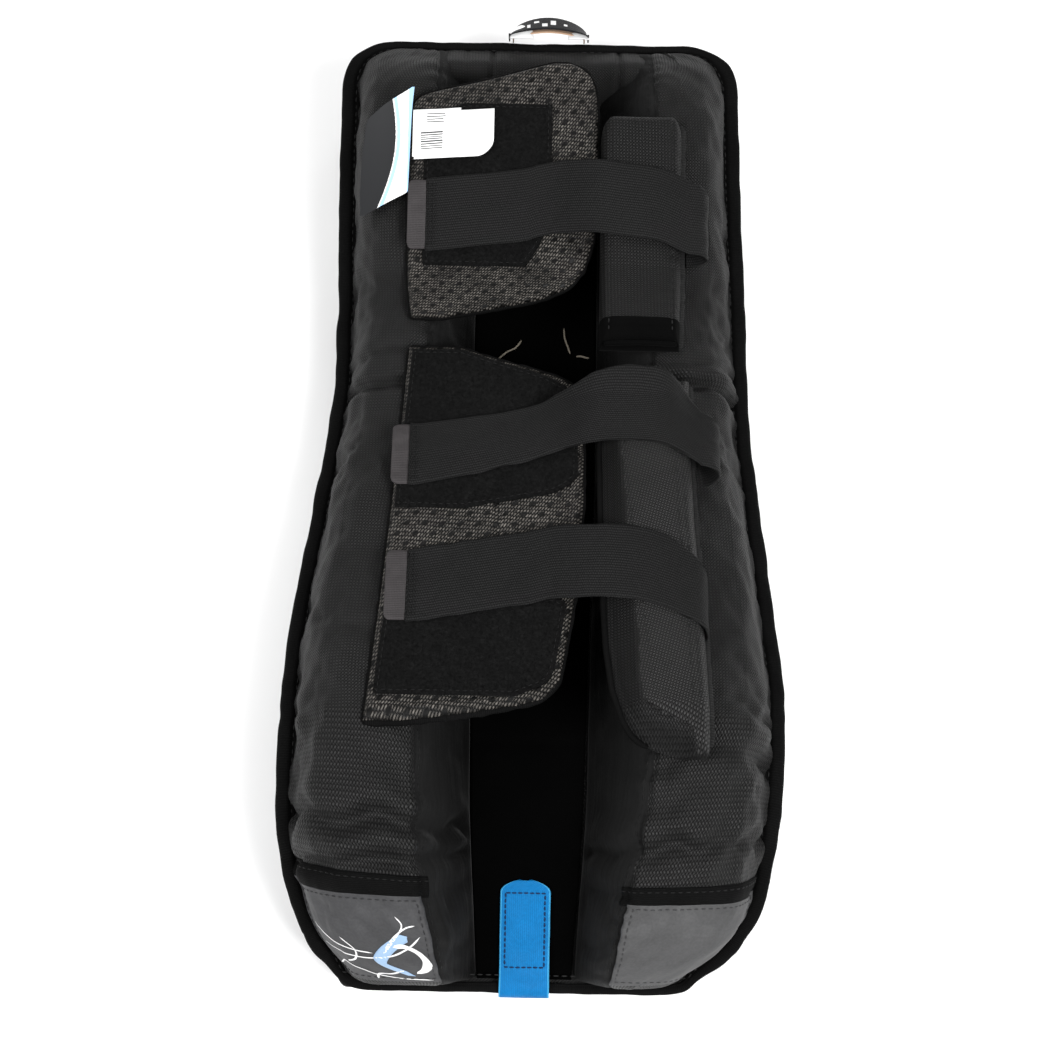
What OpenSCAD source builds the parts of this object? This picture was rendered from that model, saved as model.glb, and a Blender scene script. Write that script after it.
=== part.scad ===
// Ice hockey goalie leg pad, lying on its front face with the leg side up.
// The toe end points along -Y, the thigh end along +Y, and the leg channel opens upwards.
// Every section is drawn flat, as x across and w above the front face,
// and bend() lays it along the bent front face at the arc length v from the toe.

/* [Front profile] */
// Rise of the boot section above the floor, degrees
boot_rise = 17.5; // [15:0.5:19]
// Fall of the shin section from the ankle break to the knee, degrees
shin_fall = 8; // [7:0.5:9]
// Rise of the thigh section above the knee, degrees
thigh_rise = 10; // [6:0.5:12]

/* [Core and bolsters] */
// Thickness of the foam core along the shin, knee and thigh
core_h = 40; // [36:1:42]
// Thickness of the foam core at the toe end
toe_h = 22; // [18:1:26]
// Height of the padded side bolsters above the front face
bolster_h = 93; // [90:1:95]
// Thickness of the woven covers with their backing
cover_t = 1.6; // [1.2:0.1:2]
// Radius of the rolled edge binding
binding_r = 6; // [4.5:0.5:6.5]

/* [Leg wraps] */
// Thickness of the mesh leg wraps
wrap_t = 8; // [6:0.5:8.5]
// Thickness of the loop panels on the wraps
loop_t = 1.4; // [1:0.1:1.6]
// Thickness of the knee block and the calf wing
block_t = 19.5; // [14:0.5:19.5]

/* [Straps] */
// Width of the elastic straps
strap_w = 46; // [38:1:48]
// Thickness of the elastic straps
strap_t = 2; // [1.4:0.1:2.2]
// Outer radius of the fold at the sewn end of a strap
fold_r = 12; // [12:0.5:12.5]
// Width of the foot strap
foot_strap_w = 29; // [20:1:32]

/* [Hidden] */

gap = 0.6;
// Middle of the pad's own box, so that the frame's origin is under its centre
mid_x = 2.2;
mid_y = 298;

// Slope of the front face against arc length
slope_at = [[-60, boot_rise], [68, boot_rise], [128, -shin_fall], [288, -shin_fall], [332, 0], [385, 0], [440, thigh_rise], [700, thigh_rise]];
function slope(v) = lookup(v, slope_at);
ds = 2;
run = [for (i = 0, y = -40 * cos(boot_rise), z = -40 * sin(boot_rise); i <= 345; y = y + ds * cos(slope(-39 + i * ds)), z = z + ds * sin(slope(-39 + i * ds)), i = i + 1) [-40 + i * ds, y, z]];
run_y = [for (p = run) [p[0], p[1]]];
run_z = [for (p = run) [p[0], p[2]]];
floor_z = min([for (p = run) if (p[0] >= 0) p[2]]);
function bend(x, v, w) = let (a = slope(v)) [x - mid_x, lookup(v, run_y) - mid_y - w * sin(a), lookup(v, run_z) - floor_z + w * cos(a)];

// Outline of the pad: x of the left and right edges against arc length
edge_l = [[0, -106], [8, -111], [22, -118], [34, -128], [50, -134], [64, -138], [80, -142], [100, -145], [150, -145], [185, -144], [216, -141], [256, -136], [284, -133], [330, -128], [357, -125], [430, -125], [500, -127], [566, -127], [582, -125], [592, -120], [600, -111], [606, -97]];
edge_r = [[0, 94], [8, 98], [18, 109], [27, 118], [38, 130], [53, 136], [69, 140], [82, 143], [104, 147], [132, 149], [157, 150], [189, 147], [222, 144], [255, 141], [289, 138], [336, 134], [362, 133], [437, 132], [470, 130], [503, 129], [537, 128], [566, 127], [582, 125], [592, 119], [600, 109], [606, 95]];
function xl(v) = lookup(v, edge_l);
function xr(v) = lookup(v, edge_r);
// Top of the foam core, and the surface that the bolsters and the channel liner are sewn to
core_at = [[0, toe_h], [30, toe_h + 4], [68, core_h - 5], [128, core_h], [606, core_h]];
function core(v) = lookup(v, core_at);
function deck(v) = core(v) + cover_t + 0.6;
// Height of the bolsters along the pad
crown_at = [[0, 44], [10, 56], [22, 70], [40, 81], [68, 88], [104, bolster_h - 2], [128, bolster_h], [545, bolster_h], [566, bolster_h - 6], [582, 74], [592, 62], [606, 50]];
function crown(v) = min(bolster_h, lookup(v, crown_at));

// Stations along the pad that all the layers share, so that they stay parallel
stops = [10, 14, 22, 30, 40, 54, 68, 80, 92, 104, 116, 128, 180, 235, 288, 299, 310, 321, 332, 385, 399, 412, 426, 440, 500, 545, 566, 582, 592, 600];
function stations(a, b) = concat([a], [for (s = stops) if (s > a + 0.5 && s < b - 0.5) s], [b]);

// ---- solids made from sections ----
function map_ring(v, P) = [for (p = P) bend(p[0], v, p[1])];
// Closed solid through rings of points, each listed clockwise as seen from the toe end
module loft(rings, flip = false, fan = 0) {
    n = len(rings[0]);
    m = len(rings);
    f = [for (i = [0:m - 2], j = [0:n - 1]) let (a = i * n + j, b = i * n + (j + 1) % n, c = a + n, d = b + n) each [[a, d, b], [a, c, d]]];
    c0 = [for (j = [1:n - 2]) [fan, (fan + j) % n, (fan + j + 1) % n]];
    c1 = [for (t = c0) [t[0] + (m - 1) * n, t[2] + (m - 1) * n, t[1] + (m - 1) * n]];
    all = concat(f, c0, c1);
    polyhedron(points = [for (r = rings) each r], faces = flip ? [for (t = all) [t[0], t[2], t[1]]] : all, convexity = 6);
}
// Same, for a bent wall whose outer and inner lines have n points each: caps are strips
module wall_loft(outer, inner, flip = false) {
    p = len(outer[0]);
    n = 2 * p;
    m = len(outer);
    rings = [for (i = [0:m - 1]) concat(outer[i], [for (k = [p - 1:-1:0]) inner[i][k]])];
    f = [for (i = [0:m - 2], j = [0:n - 1]) let (a = i * n + j, b = i * n + (j + 1) % n, c = a + n, d = b + n) each [[a, d, b], [a, c, d]]];
    c0 = [for (k = [0:p - 2]) each [[k, k + 1, n - 2 - k], [k, n - 2 - k, n - 1 - k]]];
    c1 = [for (t = c0) [t[0] + (m - 1) * n, t[2] + (m - 1) * n, t[1] + (m - 1) * n]];
    all = concat(f, c0, c1);
    polyhedron(points = [for (r = rings) each r], faces = flip ? [for (t = all) [t[0], t[2], t[1]]] : all, convexity = 8);
}
// Cover that is open underneath, with its own end walls
module cup(O, I) {
    p = len(O[0]);
    m = len(O);
    k = m * p;
    pts = concat([for (r = O) each r], [for (r = I) each r]);
    fo = [for (i = [0:m - 2], j = [0:p - 2]) let (a = i * p + j) each [[a, a + p + 1, a + 1], [a, a + p, a + p + 1]]];
    fi = [for (t = fo) [t[0] + k, t[2] + k, t[1] + k]];
    o0 = [for (j = [1:p - 2]) [0, j, j + 1]];
    o1 = [for (j = [1:p - 2]) [(m - 1) * p, (m - 1) * p + j + 1, (m - 1) * p + j]];
    i0 = [for (t = o0) [t[0] + k, t[2] + k, t[1] + k]];
    i1 = [for (t = o1) [t[0] + k, t[2] + k, t[1] + k]];
    rl = [for (i = [0:m - 2]) let (a = i * p) each [[a, a + k, a + p + k], [a, a + p + k, a + p]]];
    rr = [for (i = [0:m - 2]) let (a = i * p + p - 1) each [[a, a + p, a + p + k], [a, a + p + k, a + k]]];
    e = (m - 1) * p;
    re = [[0, p - 1, p - 1 + k], [0, p - 1 + k, k], [e, e + p - 1 + k, e + p - 1], [e, e + k, e + p - 1 + k]];
    polyhedron(points = pts, faces = concat(fo, fi, o0, o1, i0, i1, rl, rr, re), convexity = 8);
}
// Moves the points of a section inwards by d, keeping its two feet on their base line
function inset(P, d) = [for (k = [0:len(P) - 1])
    k == 0 ? [P[0][0] + d, P[0][1]] :
    k == len(P) - 1 ? [P[k][0] - d, P[k][1]] :
    let (t = (P[k + 1] - P[k - 1]) / norm(P[k + 1] - P[k - 1])) [P[k][0] + d * t[1], P[k][1] - d * t[0]]];
function lift(P, d) = [for (p = P) [p[0], p[1] + d]];

// ---- core: face cover, boards, back cover ----
face_v = stations(2, 604);
function tray(v, d) = let (l = xl(v) + d, r = xr(v) - d, t = core(v) + cover_t)
    [[l, t], [l, 14 + d], [l + 4, 4 + d], [l + 13, d], [r - 13, d], [r - 4, 4 + d], [r, 14 + d], [r, t]];
module face_cover() {
    color([0.09, 0.09, 0.1]) wall_loft([for (v = face_v) map_ring(v, tray(v, 0))], [for (v = face_v) map_ring(v, tray(v, cover_t))], flip = true);
}
function slab(v, d, w0, w1) = let (l = xl(v) + d, r = xr(v) - d) [[l, w0 + 12], [l, w1], [r, w1], [r, w0 + 12], [r - 12, w0], [l + 12, w0]];
module board(vs, t0 = 0) {
    d = cover_t + 0.9;
    loft([for (v = vs) map_ring(v, slab(v, d, d + 0.4, core(v) - 0.3 - t0))]);
}
module boot_board() { color([0.75, 0.75, 0.72]) board(stations(3, 97.5)); }
module shin_board() { color([0.75, 0.75, 0.72]) board(stations(98.5, 298.6), 2.8); }
module knee_board() { color([0.75, 0.75, 0.72]) board(stations(299.4, 419.5)); }
module thigh_board() { color([0.75, 0.75, 0.72]) board(stations(420.5, 602.4)); }
module shin_stiffener() {
    color([0.85, 0.86, 0.88]) loft([for (v = stations(104, 296)) let (t = core(v)) map_ring(v, [[-70, t - 2.6], [-70, t - 0.6], [70, t - 0.6], [70, t - 2.6]])]);
}
module toe_cap() {
    color([0.07, 0.07, 0.08]) loft([for (v = [0, 1.7]) map_ring(v, [[xl(0) + 1, 14], [xl(0) + 1, toe_h], [xr(0) - 1, toe_h], [xr(0) - 1, 14], [xr(0) - 13, 0], [xl(0) + 13, 0]])]);
}
module thigh_end_cap() {
    color([0.07, 0.07, 0.08]) loft([for (v = [604.3, 606]) map_ring(v, [[xl(606), 14], [xl(606), core_h + cover_t], [xr(606), core_h + cover_t], [xr(606), 14], [xr(606) - 13, 0], [xl(606) + 13, 0]])]);
}
module back_cover() {
    color([0.06, 0.06, 0.07]) loft([for (v = stations(3, 603)) let (l = xl(v) + cover_t + 0.4, r = xr(v) - cover_t - 0.4, t = core(v)) map_ring(v, [[l, t], [l, t + cover_t], [r, t + cover_t], [r, t]])]);
}

// ---- rolled edge ----
// Runs up the left edge, round the thigh end and down the right edge
side_v = stations(2, 566);
function edge_line() = concat(
    [for (v = stations(2, 566)) [xl(v) + binding_r - 1, v]],
    [for (a = [165:-25:90]) [-96 + 24 * cos(a), 577 + 23 * sin(a)]],
    [[-40, 600], [40, 600]],
    [for (a = [90:-25:15]) [94 + 25 * cos(a), 577 + 23 * sin(a)]],
    [for (k = [0:len(side_v) - 1]) let (v = side_v[len(side_v) - 1 - k]) [xr(v) - binding_r + 1, v]]);
function around(q, n, r, rw, k = 8) = [for (i = [0:k - 1]) let (a = 90 - i * 360 / k) bend(q[0] + n[0] * r * cos(a), q[1] + n[1] * r * cos(a), deck(q[1]) + 0.4 + rw + rw * sin(a))];
module roll(L, r, rw, k = 8) {
    m = len(L);
    loft([for (i = [0:m - 1]) let (t = L[min(i + 1, m - 1)] - L[max(i - 1, 0)], u = t / norm(t)) around(L[i], [u[1], -u[0]], r, rw, k)]);
}
module edge_binding() { color([0.03, 0.03, 0.035]) roll(edge_line(), binding_r, binding_r - 1.4); }
module toe_binding() { color([0.03, 0.03, 0.035]) roll([[-94, 3.4], [-40, 3.4], [30, 3.4], [82, 3.4]], 2.6, 2.4, 6); }

// ---- leg channel ----
module liner(vs, half0, half1) {
    loft([for (i = [0:len(vs) - 1]) let (v = vs[i], h = half0 + (half1 - half0) * i / (len(vs) - 1), t = deck(v)) map_ring(v, [[-h, t], [-h, t + 1.4], [h, t + 1.4], [h, t]])]);
}
module channel_liner_boot() { color([0.1, 0.1, 0.11]) liner(stations(7, 98), 26.5, 31.5); }
module channel_liner_shin() { color([0.1, 0.1, 0.11]) liner(stations(98.6, 303), 31.5, 37); }
module channel_liner_thigh() { color([0.1, 0.1, 0.11]) liner(stations(303.6, 590), 37, 37); }

// ---- side bolsters ----
// Foot and brow of the outer wall, and brow and foot of the channel wall
in_l = [[0, -42], [16, -46], [50, -52], [80, -60], [125, -63], [606, -63]];
foot_l = [[0, -28], [60, -31], [100, -34], [300, -39], [606, -39]];
in_r = [[0, 44], [16, 48], [50, 52], [80, 60], [115, 70], [606, 70]];
foot_r = [[0, 29], [60, 32], [100, 35], [300, 39], [606, 39]];
function bolster(v, d = 0, left = true) = let (
    o = left ? xl(v) + 2 * binding_r + 2 : -xr(v) + 2 * binding_r + 2.5,
    i = left ? lookup(v, in_l) : -lookup(v, in_r),
    g = left ? lookup(v, foot_l) : -lookup(v, foot_r),
    b = deck(v), c = crown(v), h = c - b)
    [[o, b], [o - 1, b + 0.3 * h], [o + 4, b + 0.68 * h], [o + 13, b + 0.92 * h], [o + 26, c], [i - 12, c], [i - 1, c - 0.06 * h], [i + 0.42 * (g - i), b + 0.56 * h], [g, b + 0.08 * h], [g, b]];
function bolster_in(v, d, left = true) = let (P = inset(bolster(v, 0, left), d)) P;
function sided(P, left) = left ? P : [for (k = [len(P) - 1:-1:0]) [-P[k][0], P[k][1]]];
module bolster_cover(vs, left) {
    n = len(vs) - 1;
    O = [for (v = vs) map_ring(v, sided(bolster(v, 0, left), left))];
    I = [for (k = [0:n]) let (v = k == 0 ? vs[0] + cover_t : k == n ? vs[n] - cover_t : vs[k]) map_ring(v, sided(bolster_in(v, cover_t, left), left))];
    cup(O, I);
}
module bolster_foam(vs, left) {
    n = len(vs) - 1;
    d = cover_t + 0.6;
    loft([for (k = [0:n]) let (v = k == 0 ? vs[0] + d : k == n ? vs[n] - d : vs[k]) map_ring(v, sided(bolster_in(v, d, left), left))]);
}
calf_v = stations(7, 350);
thigh_v = stations(352, 587);
module left_calf_bolster_cover() { color([0.11, 0.11, 0.12]) bolster_cover(calf_v, true); }
module left_calf_bolster_foam() { color([0.8, 0.8, 0.76]) bolster_foam(calf_v, true); }
module left_thigh_bolster_cover() { color([0.11, 0.11, 0.12]) bolster_cover(thigh_v, true); }
module left_thigh_bolster_foam() { color([0.8, 0.8, 0.76]) bolster_foam(thigh_v, true); }
module right_calf_bolster_cover() { color([0.11, 0.11, 0.12]) bolster_cover(calf_v, false); }
module right_calf_bolster_foam() { color([0.8, 0.8, 0.76]) bolster_foam(calf_v, false); }
module right_thigh_bolster_cover() { color([0.11, 0.11, 0.12]) bolster_cover(thigh_v, false); }
module right_thigh_bolster_foam() { color([0.8, 0.8, 0.76]) bolster_foam(thigh_v, false); }
// Vinyl wear patches over the boot end of both bolsters
module boot_patch(left) {
    vs = stations(10, 62);
    wall_loft(
        [for (v = vs) let (P = inset(bolster(v, 0, left), -1.7)) map_ring(v, sided([for (k = [1:7]) P[k]], left))],
        [for (v = vs) let (P = inset(bolster(v, 0, left), -0.7)) map_ring(v, sided([for (k = [1:7]) P[k]], left))]);
}
module left_boot_patch() { color([0.22, 0.22, 0.24]) boot_patch(true); }
module right_boot_patch() { color([0.3, 0.3, 0.32]) boot_patch(false); }

// ---- foot strap, hanging loop, tag, lace ends ----
// Rounded at its sewn end, then flat down the channel floor, over the toe edge and down the toe end
module foot_strap() {
    h = foot_strap_w / 2;
    color([0.12, 0.42, 0.75]) {
        loft([for (p = [[66, 0.45], [63, 0.75], [58, 0.94], [52, 1], [30, 1], [8, 1]]) let (v = p[0], t = deck(v) + 1.8) map_ring(v, [[-h * p[1], t], [h * p[1], t], [h * p[1], t + 1.6], [-h * p[1], t + 1.6]])]);
        loft([for (p = [[8, deck(8) + 1.8, 0], [0.4, deck(0) + 8.2, 0], [-3, deck(0) + 4.5, 1], [-3, 5, 1]]) let (v = p[0], w = p[1]) p[2] == 0
            ? map_ring(v, [[-h, w], [h, w], [h, w + 1.6], [-h, w + 1.6]])
            : concat(map_ring(v + 1.6, [[-h, w], [h, w]]), map_ring(v, [[h, w], [-h, w]]))]);
    }
}
module hang_loop() {
    color([0.05, 0.05, 0.06]) intersection() {
        loft([for (x = [-24:58:34]) [bend(x, 580, 40), bend(x, 580, 60), bend(x, 640, 60), bend(x, 640, 40)]], flip = true);
        loop_band(0, 1.6, 44, 56);
    }
}
// Band that leaves the thigh end, arches out and comes back, as wide as w1 - w0
module loop_band(d0, d1, w0, w1) {
    as = [180:-15:0];
    L = concat([[-1, 602]], [for (a = as) [0, 0]]);
    P = [for (a = [180:-12:0]) [5 + 26 * cos(a), 608.2 + 15.5 * sin(a)]];
    Q = [for (a = [180:-12:0]) [5 + (26 - d1) * cos(a), 608.2 + (15.5 - d1) * sin(a)]];
    loft([for (k = [0:len(P) - 1]) [bend(P[k][0], P[k][1], w0), bend(P[k][0], P[k][1], w1), bend(Q[k][0], Q[k][1], w1), bend(Q[k][0], Q[k][1], w0)]], flip = true);
}
module hang_loop_ends() {
    color([0.85, 0.85, 0.85]) for (x = [-21, 31]) let (s = x < 0 ? 1 : -1)
        loft([for (v = [606.6, 615]) let (c = x + s * (v > 610 ? 5 : 2.2) - (s < 0 ? 1.6 : 0)) map_ring(v, [[c, 45], [c, 55], [c + 1.6, 55], [c + 1.6, 45]])]);
}
module hang_tag() {
    color([0.1, 0.12, 0.16]) loft([for (p = [[470, -109, -104], [484, -110, -84], [510, -109, -83], [530, -103, -82], [552, -92, -82]]) let (v = p[0], a = p[1], b = p[2], wa = bolster_h + 3 + (a + 110) * 0.2, wb = bolster_h + 3 + (b + 110) * 0.2)
        map_ring(v, [[a, wa], [a, wa + 0.8], [b, wb + 0.8], [b, wb]])]);
}
module lace(a, b) {
    P = bend(a[0], a[1], deck(a[1]) + 2.9);
    Q = bend(b[0], b[1], deck(b[1]) + 4.4);
    D = Q - P;
    translate(P) rotate([0, acos(D[2] / norm(D)), atan2(D[1], D[0])]) cylinder(r = 0.9, h = norm(D), $fn = 16);
}
module lace_ends() {
    color([0.75, 0.75, 0.74]) { lace([-24, 386], [-9, 402]); lace([18, 412], [22, 392]); lace([26, 390], [34, 389]); }
}

// ---- flat padded pieces: rows of [v, left x, right x] ----
function pad_line(l, r, w0, w1, e) = let (f = min(e, (r - l) / 2.6)) [[l, w0], [l, w1 - 0.45 * f], [l + 0.35 * f, w1 - 0.12 * f], [l + f, w1], [r - f, w1], [r - 0.35 * f, w1 - 0.12 * f], [r, w1 - 0.45 * f], [r, w0]];
module pad_cover(rows, up, t, e, wall) {
    n = len(rows) - 1;
    cup([for (q = rows) map_ring(q[0], pad_line(q[1], q[2], bolster_h + up, bolster_h + up + t, e))],
        [for (k = [0:n]) let (q = rows[k], v = k == 0 ? q[0] + wall : k == n ? q[0] - wall : q[0], s = (k == 0 || k == n) ? 2 * wall : wall) map_ring(v, inset(pad_line(q[1], q[2], bolster_h + up, bolster_h + up + t, e), wall))]);
}
module pad_foam(rows, up, t, e, wall) {
    n = len(rows) - 1;
    d = wall + 0.3;
    loft([for (k = [0:n]) let (q = rows[k], v = k == 0 ? q[0] + d : k == n ? q[0] - d : q[0]) map_ring(v, inset(pad_line(q[1], q[2], bolster_h + up, bolster_h + up + t, e), d))]);
}
module sheet(rows, w0, w1) { loft([for (q = rows) map_ring(q[0], [[q[1], w0], [q[1], w1], [q[2], w1], [q[2], w0]])]); }

flap_rows = [[394, -76, -58], [401, -77, -34], [412, -78, 2], [424, -79, 20], [441, -79.5, 29], [461, -80, 35], [494, -80, 36.5], [539, -79, 36.5], [549, -66, 35.5], [560, -26, 34], [569, -4, 27]];
wrap_rows = [[123, -93, -74], [126, -92.5, -27], [132, -92, 6], [144, -91, 17], [193, -87, 25], [257, -83, 30], [288, -81.5, 30], [310, -80, 29.5], [332, -79, 27], [350, -78, 24], [357, -77.5, 6], [364, -77, -21], [372, -76.5, -46]];
module knee_flap_cover() { color([0.5, 0.5, 0.52]) pad_cover(flap_rows, gap, wrap_t, 4, 1); }
module knee_flap_foam() { color([0.8, 0.8, 0.76]) pad_foam(flap_rows, gap, wrap_t, 4, 1); }
module calf_wrap_cover() { color([0.5, 0.5, 0.52]) pad_cover(wrap_rows, gap, wrap_t, 4, 1); }
module calf_wrap_foam() { color([0.8, 0.8, 0.76]) pad_foam(wrap_rows, gap, wrap_t, 4, 1); }
loop_w = bolster_h + gap + wrap_t + 0.2;
module knee_loop_panel() { color([0.08, 0.08, 0.08]) sheet([[441, -70, -8], [452, -70.5, 0], [470, -71, 8], [536, -71, 8], [545, -46, 8]], loop_w, loop_w + loop_t); }
module upper_calf_loop_panel() { color([0.08, 0.08, 0.08]) sheet([[251, -79, -40], [262, -78.5, 14], [272, -78, 26], [288, -77.5, 26], [310, -76, 25.5], [332, -75, 23], [345, -74, 21], [354, -73.5, 4], [361, -73, -21], [367, -73, -44]], loop_w, loop_w + loop_t); }
module lower_calf_loop_panel() { color([0.08, 0.08, 0.08]) sheet([[134, -88, -8], [142, -87.5, 10], [150, -87, 14], [193, -83, 21], [205, -82.5, -30], [213, -82, -66]], loop_w, loop_w + loop_t); }
module care_label() { color([0.88, 0.88, 0.88]) sheet([[507, -78, -30], [538, -77, -28]], loop_w + loop_t + 0.2, loop_w + loop_t + 0.9); }

block_up = 1.6;
knee_rows = [[372, 38.5, 87], [390, 38.5, 87.5], [412, 38.5, 88], [440, 38.5, 88], [526, 38.5, 88], [533, 40, 86.5], [537, 44, 83]];
function wing_line(q, w0, w1) = [[q[1], w0], [q[1], w0 + 5], [q[3], w1 - 0.6], [q[3] + 4, w1], [q[2] - 9, w1], [q[2] - 4.5, w1 - 2], [q[2] - 2, w1 - 9], [q[2], w0]];
// Rows of [v, left x, right x, x of the ridge]
wing_rows = [[114, 86, 101, 88], [122, 68, 101.5, 76], [129, 54, 101.5, 72], [165, 43, 100, 62], [191, 42, 98.5, 59], [240, 40.5, 95, 54], [288, 39.5, 93.5, 50], [310, 39.5, 93, 50], [332, 39, 93, 50], [350, 39, 93, 50]];
module knee_block_cover() { color([0.1, 0.1, 0.11]) pad_cover(knee_rows, block_up, block_t, 9, 1.4); }
module knee_block_foam() { color([0.8, 0.8, 0.76]) pad_foam(knee_rows, block_up, block_t, 9, 1.4); }
module calf_wing_cover() {
    n = len(wing_rows) - 1;
    w0 = bolster_h + block_up;
    color([0.12, 0.12, 0.13]) cup([for (q = wing_rows) map_ring(q[0], wing_line(q, w0, w0 + block_t))],
        [for (k = [0:n]) let (q = wing_rows[k], v = k == 0 ? q[0] + 1.6 : k == n ? q[0] - 1.6 : q[0]) map_ring(v, inset(wing_line(q, w0, w0 + block_t), 1.4))]);
}
module calf_wing_foam() {
    n = len(wing_rows) - 1;
    w0 = bolster_h + block_up;
    color([0.8, 0.8, 0.76]) loft([for (k = [0:n]) let (q = wing_rows[k], v = k == 0 ? q[0] + 2 : k == n ? q[0] - 2 : q[0]) map_ring(v, inset(wing_line(q, w0, w0 + block_t), 1.8))]);
}
// Bound seam that stands out along the sewn edge of the block and the wing
module knee_block_piping() { color([0.03, 0.03, 0.035]) sheet([for (q = knee_rows) if (q[0] < 530) [q[0], q[2] + 0.3, q[2] + 2.6]], bolster_h + block_up, bolster_h + block_up + 1.6); }
module calf_wing_piping() { color([0.03, 0.03, 0.035]) sheet([for (q = wing_rows) [q[0], q[2] + 0.3, q[2] + 2.6]], bolster_h + block_up, bolster_h + block_up + 1.6); }

// ---- elastic straps ----
// Path of [x, w, middle v] with its own thickness, as wide as width
function ribbon_ring(P, i, t, h) = let (m = len(P) - 1, a = P[max(i - 1, 0)], b = P[min(i + 1, m)], u = [b[0] - a[0], b[1] - a[1]] / norm([b[0] - a[0], b[1] - a[1]]), n = [-u[1], u[0]] * t / 2, p = P[i])
    [bend(p[0] - n[0], p[2] - h, p[1] - n[1]), bend(p[0] - n[0], p[2], p[1] - n[1]), bend(p[0] - n[0], p[2] + h, p[1] - n[1]),
     bend(p[0] + n[0], p[2] + h, p[1] + n[1]), bend(p[0] + n[0], p[2], p[1] + n[1]), bend(p[0] + n[0], p[2] - h, p[1] + n[1])];
module ribbon(P, t, h) { loft([for (i = [0:len(P) - 1]) ribbon_ring(P, i, t, h)], fan = 1); }
fold_m = fold_r - strap_t / 2;
fold_w = bolster_h + 0.5 + fold_r;
over_w = bolster_h + 0.5 + 2 * fold_r - strap_t / 2;
rest_w = loop_w + loop_t + 0.5 + strap_t / 2;
function fold_low(x, v) = concat([[x - 1, fold_w - fold_m, v]], [for (a = [-90:20:-10]) [x + fold_m * cos(a), fold_w + fold_m * sin(a), v]], [[x + fold_m * cos(-1.5), fold_w + fold_m * sin(-1.5), v]]);
function fold_high(x, v, s) = concat([[x + fold_m * cos(1.5), fold_w + fold_m * sin(1.5), v]], [for (a = [15:25:90]) [x + fold_m * cos(a), fold_w + fold_m * sin(a), v + s * a / 90]]);
knee_fold_x = 92.5;
calf_fold_x = 98.5;
module knee_strap_anchor() { color([0.04, 0.04, 0.045]) ribbon(fold_low(knee_fold_x, 470), strap_t, strap_w / 2); }
module upper_calf_strap_anchor() { color([0.04, 0.04, 0.045]) ribbon(fold_low(calf_fold_x, 299), strap_t, strap_w / 2 + 2); }
module knee_strap() {
    color([0.05, 0.05, 0.055]) ribbon(concat(fold_high(knee_fold_x, 470, 3), [[73, over_w + 0.4, 478], [50, over_w + 0.2, 481], [34, over_w - 1, 483], [14, rest_w + 3.4, 484], [0, rest_w + 0.6, 482], [-12, rest_w, 479], [-64, rest_w, 472.5]]), strap_t, strap_w / 2);
}
module upper_calf_strap() {
    color([0.05, 0.05, 0.055]) ribbon(concat(fold_high(calf_fold_x, 299, 9), [[74, over_w + 0.4, 314], [52, over_w + 0.2, 316], [35, over_w - 1, 315], [14, rest_w + 3.4, 311], [-2, rest_w + 0.6, 306], [-14, rest_w, 303], [-35, rest_w, 297], [-69, rest_w, 289]]), strap_t, strap_w / 2 + 1.5);
}
wing_top = bolster_h + block_up + block_t;
lower_w = wing_top + 0.4 + strap_t / 2;
module lower_calf_strap_anchor() { color([0.04, 0.04, 0.045]) ribbon([[88.5, wing_top + 0.3, 202], [84.5, wing_top + 0.3, 203]], 0.4, strap_w / 2); }
module lower_calf_strap() {
    color([0.05, 0.05, 0.055]) ribbon([[88.5, lower_w + 0.5, 202], [76, lower_w + 0.8, 207], [62, lower_w + 1, 211], [44, lower_w, 213], [28, lower_w - 3.4, 214], [12, rest_w + 2.2, 215], [-2, rest_w + 0.4, 212], [-15, rest_w, 210], [-67, rest_w, 200]], strap_t, strap_w / 2);
}
// Grip tabs: moulded hook material past the end of each strap, with rounded corners
module grip_tab(x0, x1, v0, s, h) {
    ribbon([[x1, rest_w, v0], [x0 + 4, rest_w, v0 - s]], 2.4, h);
    loft([ribbon_ring([[x0 + 4, rest_w, v0 - s], [x0 + 1.2, rest_w, v0 - s]], 0, 2.4, h), ribbon_ring([[x0 + 4, rest_w, v0 - s], [x0 + 1.2, rest_w, v0 - s]], 1, 2.4, h - 1.6), ribbon_ring([[x0 + 4, rest_w, v0 - s], [x0, rest_w, v0 - s]], 1, 2.4, h - 4)], fan = 1);
}
module knee_strap_tab() { color([0.42, 0.4, 0.41]) grip_tab(-80, -64.4, 472.4, 0.8, strap_w / 2 - 1); }
module upper_calf_strap_tab() { color([0.42, 0.4, 0.41]) grip_tab(-84, -69.4, 288.8, 1.6, strap_w / 2 + 0.5); }
module lower_calf_strap_tab() { color([0.42, 0.4, 0.41]) grip_tab(-84, -67.4, 200, 0.6, strap_w / 2 - 1); }
// Thin hook strips sewn under the strap beside each tab
module hook_strip(x0, x1, va, vb, h) { w = rest_w - strap_t / 2 - 0.22; ribbon([[x1, w, vb], [x0, w, va]], 0.3, h); }
module knee_strap_hook() { color([0.3, 0.3, 0.31]) hook_strip(-62, -22, 473, 477.6, strap_w / 2 - 3); }
module upper_calf_strap_hook() { color([0.3, 0.3, 0.31]) hook_strip(-67, -36, 289.6, 296.6, strap_w / 2 - 3); }
module lower_calf_strap_hook() { color([0.3, 0.3, 0.31]) hook_strip(-65, -22, 200.6, 208.4, strap_w / 2 - 3); }

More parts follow.
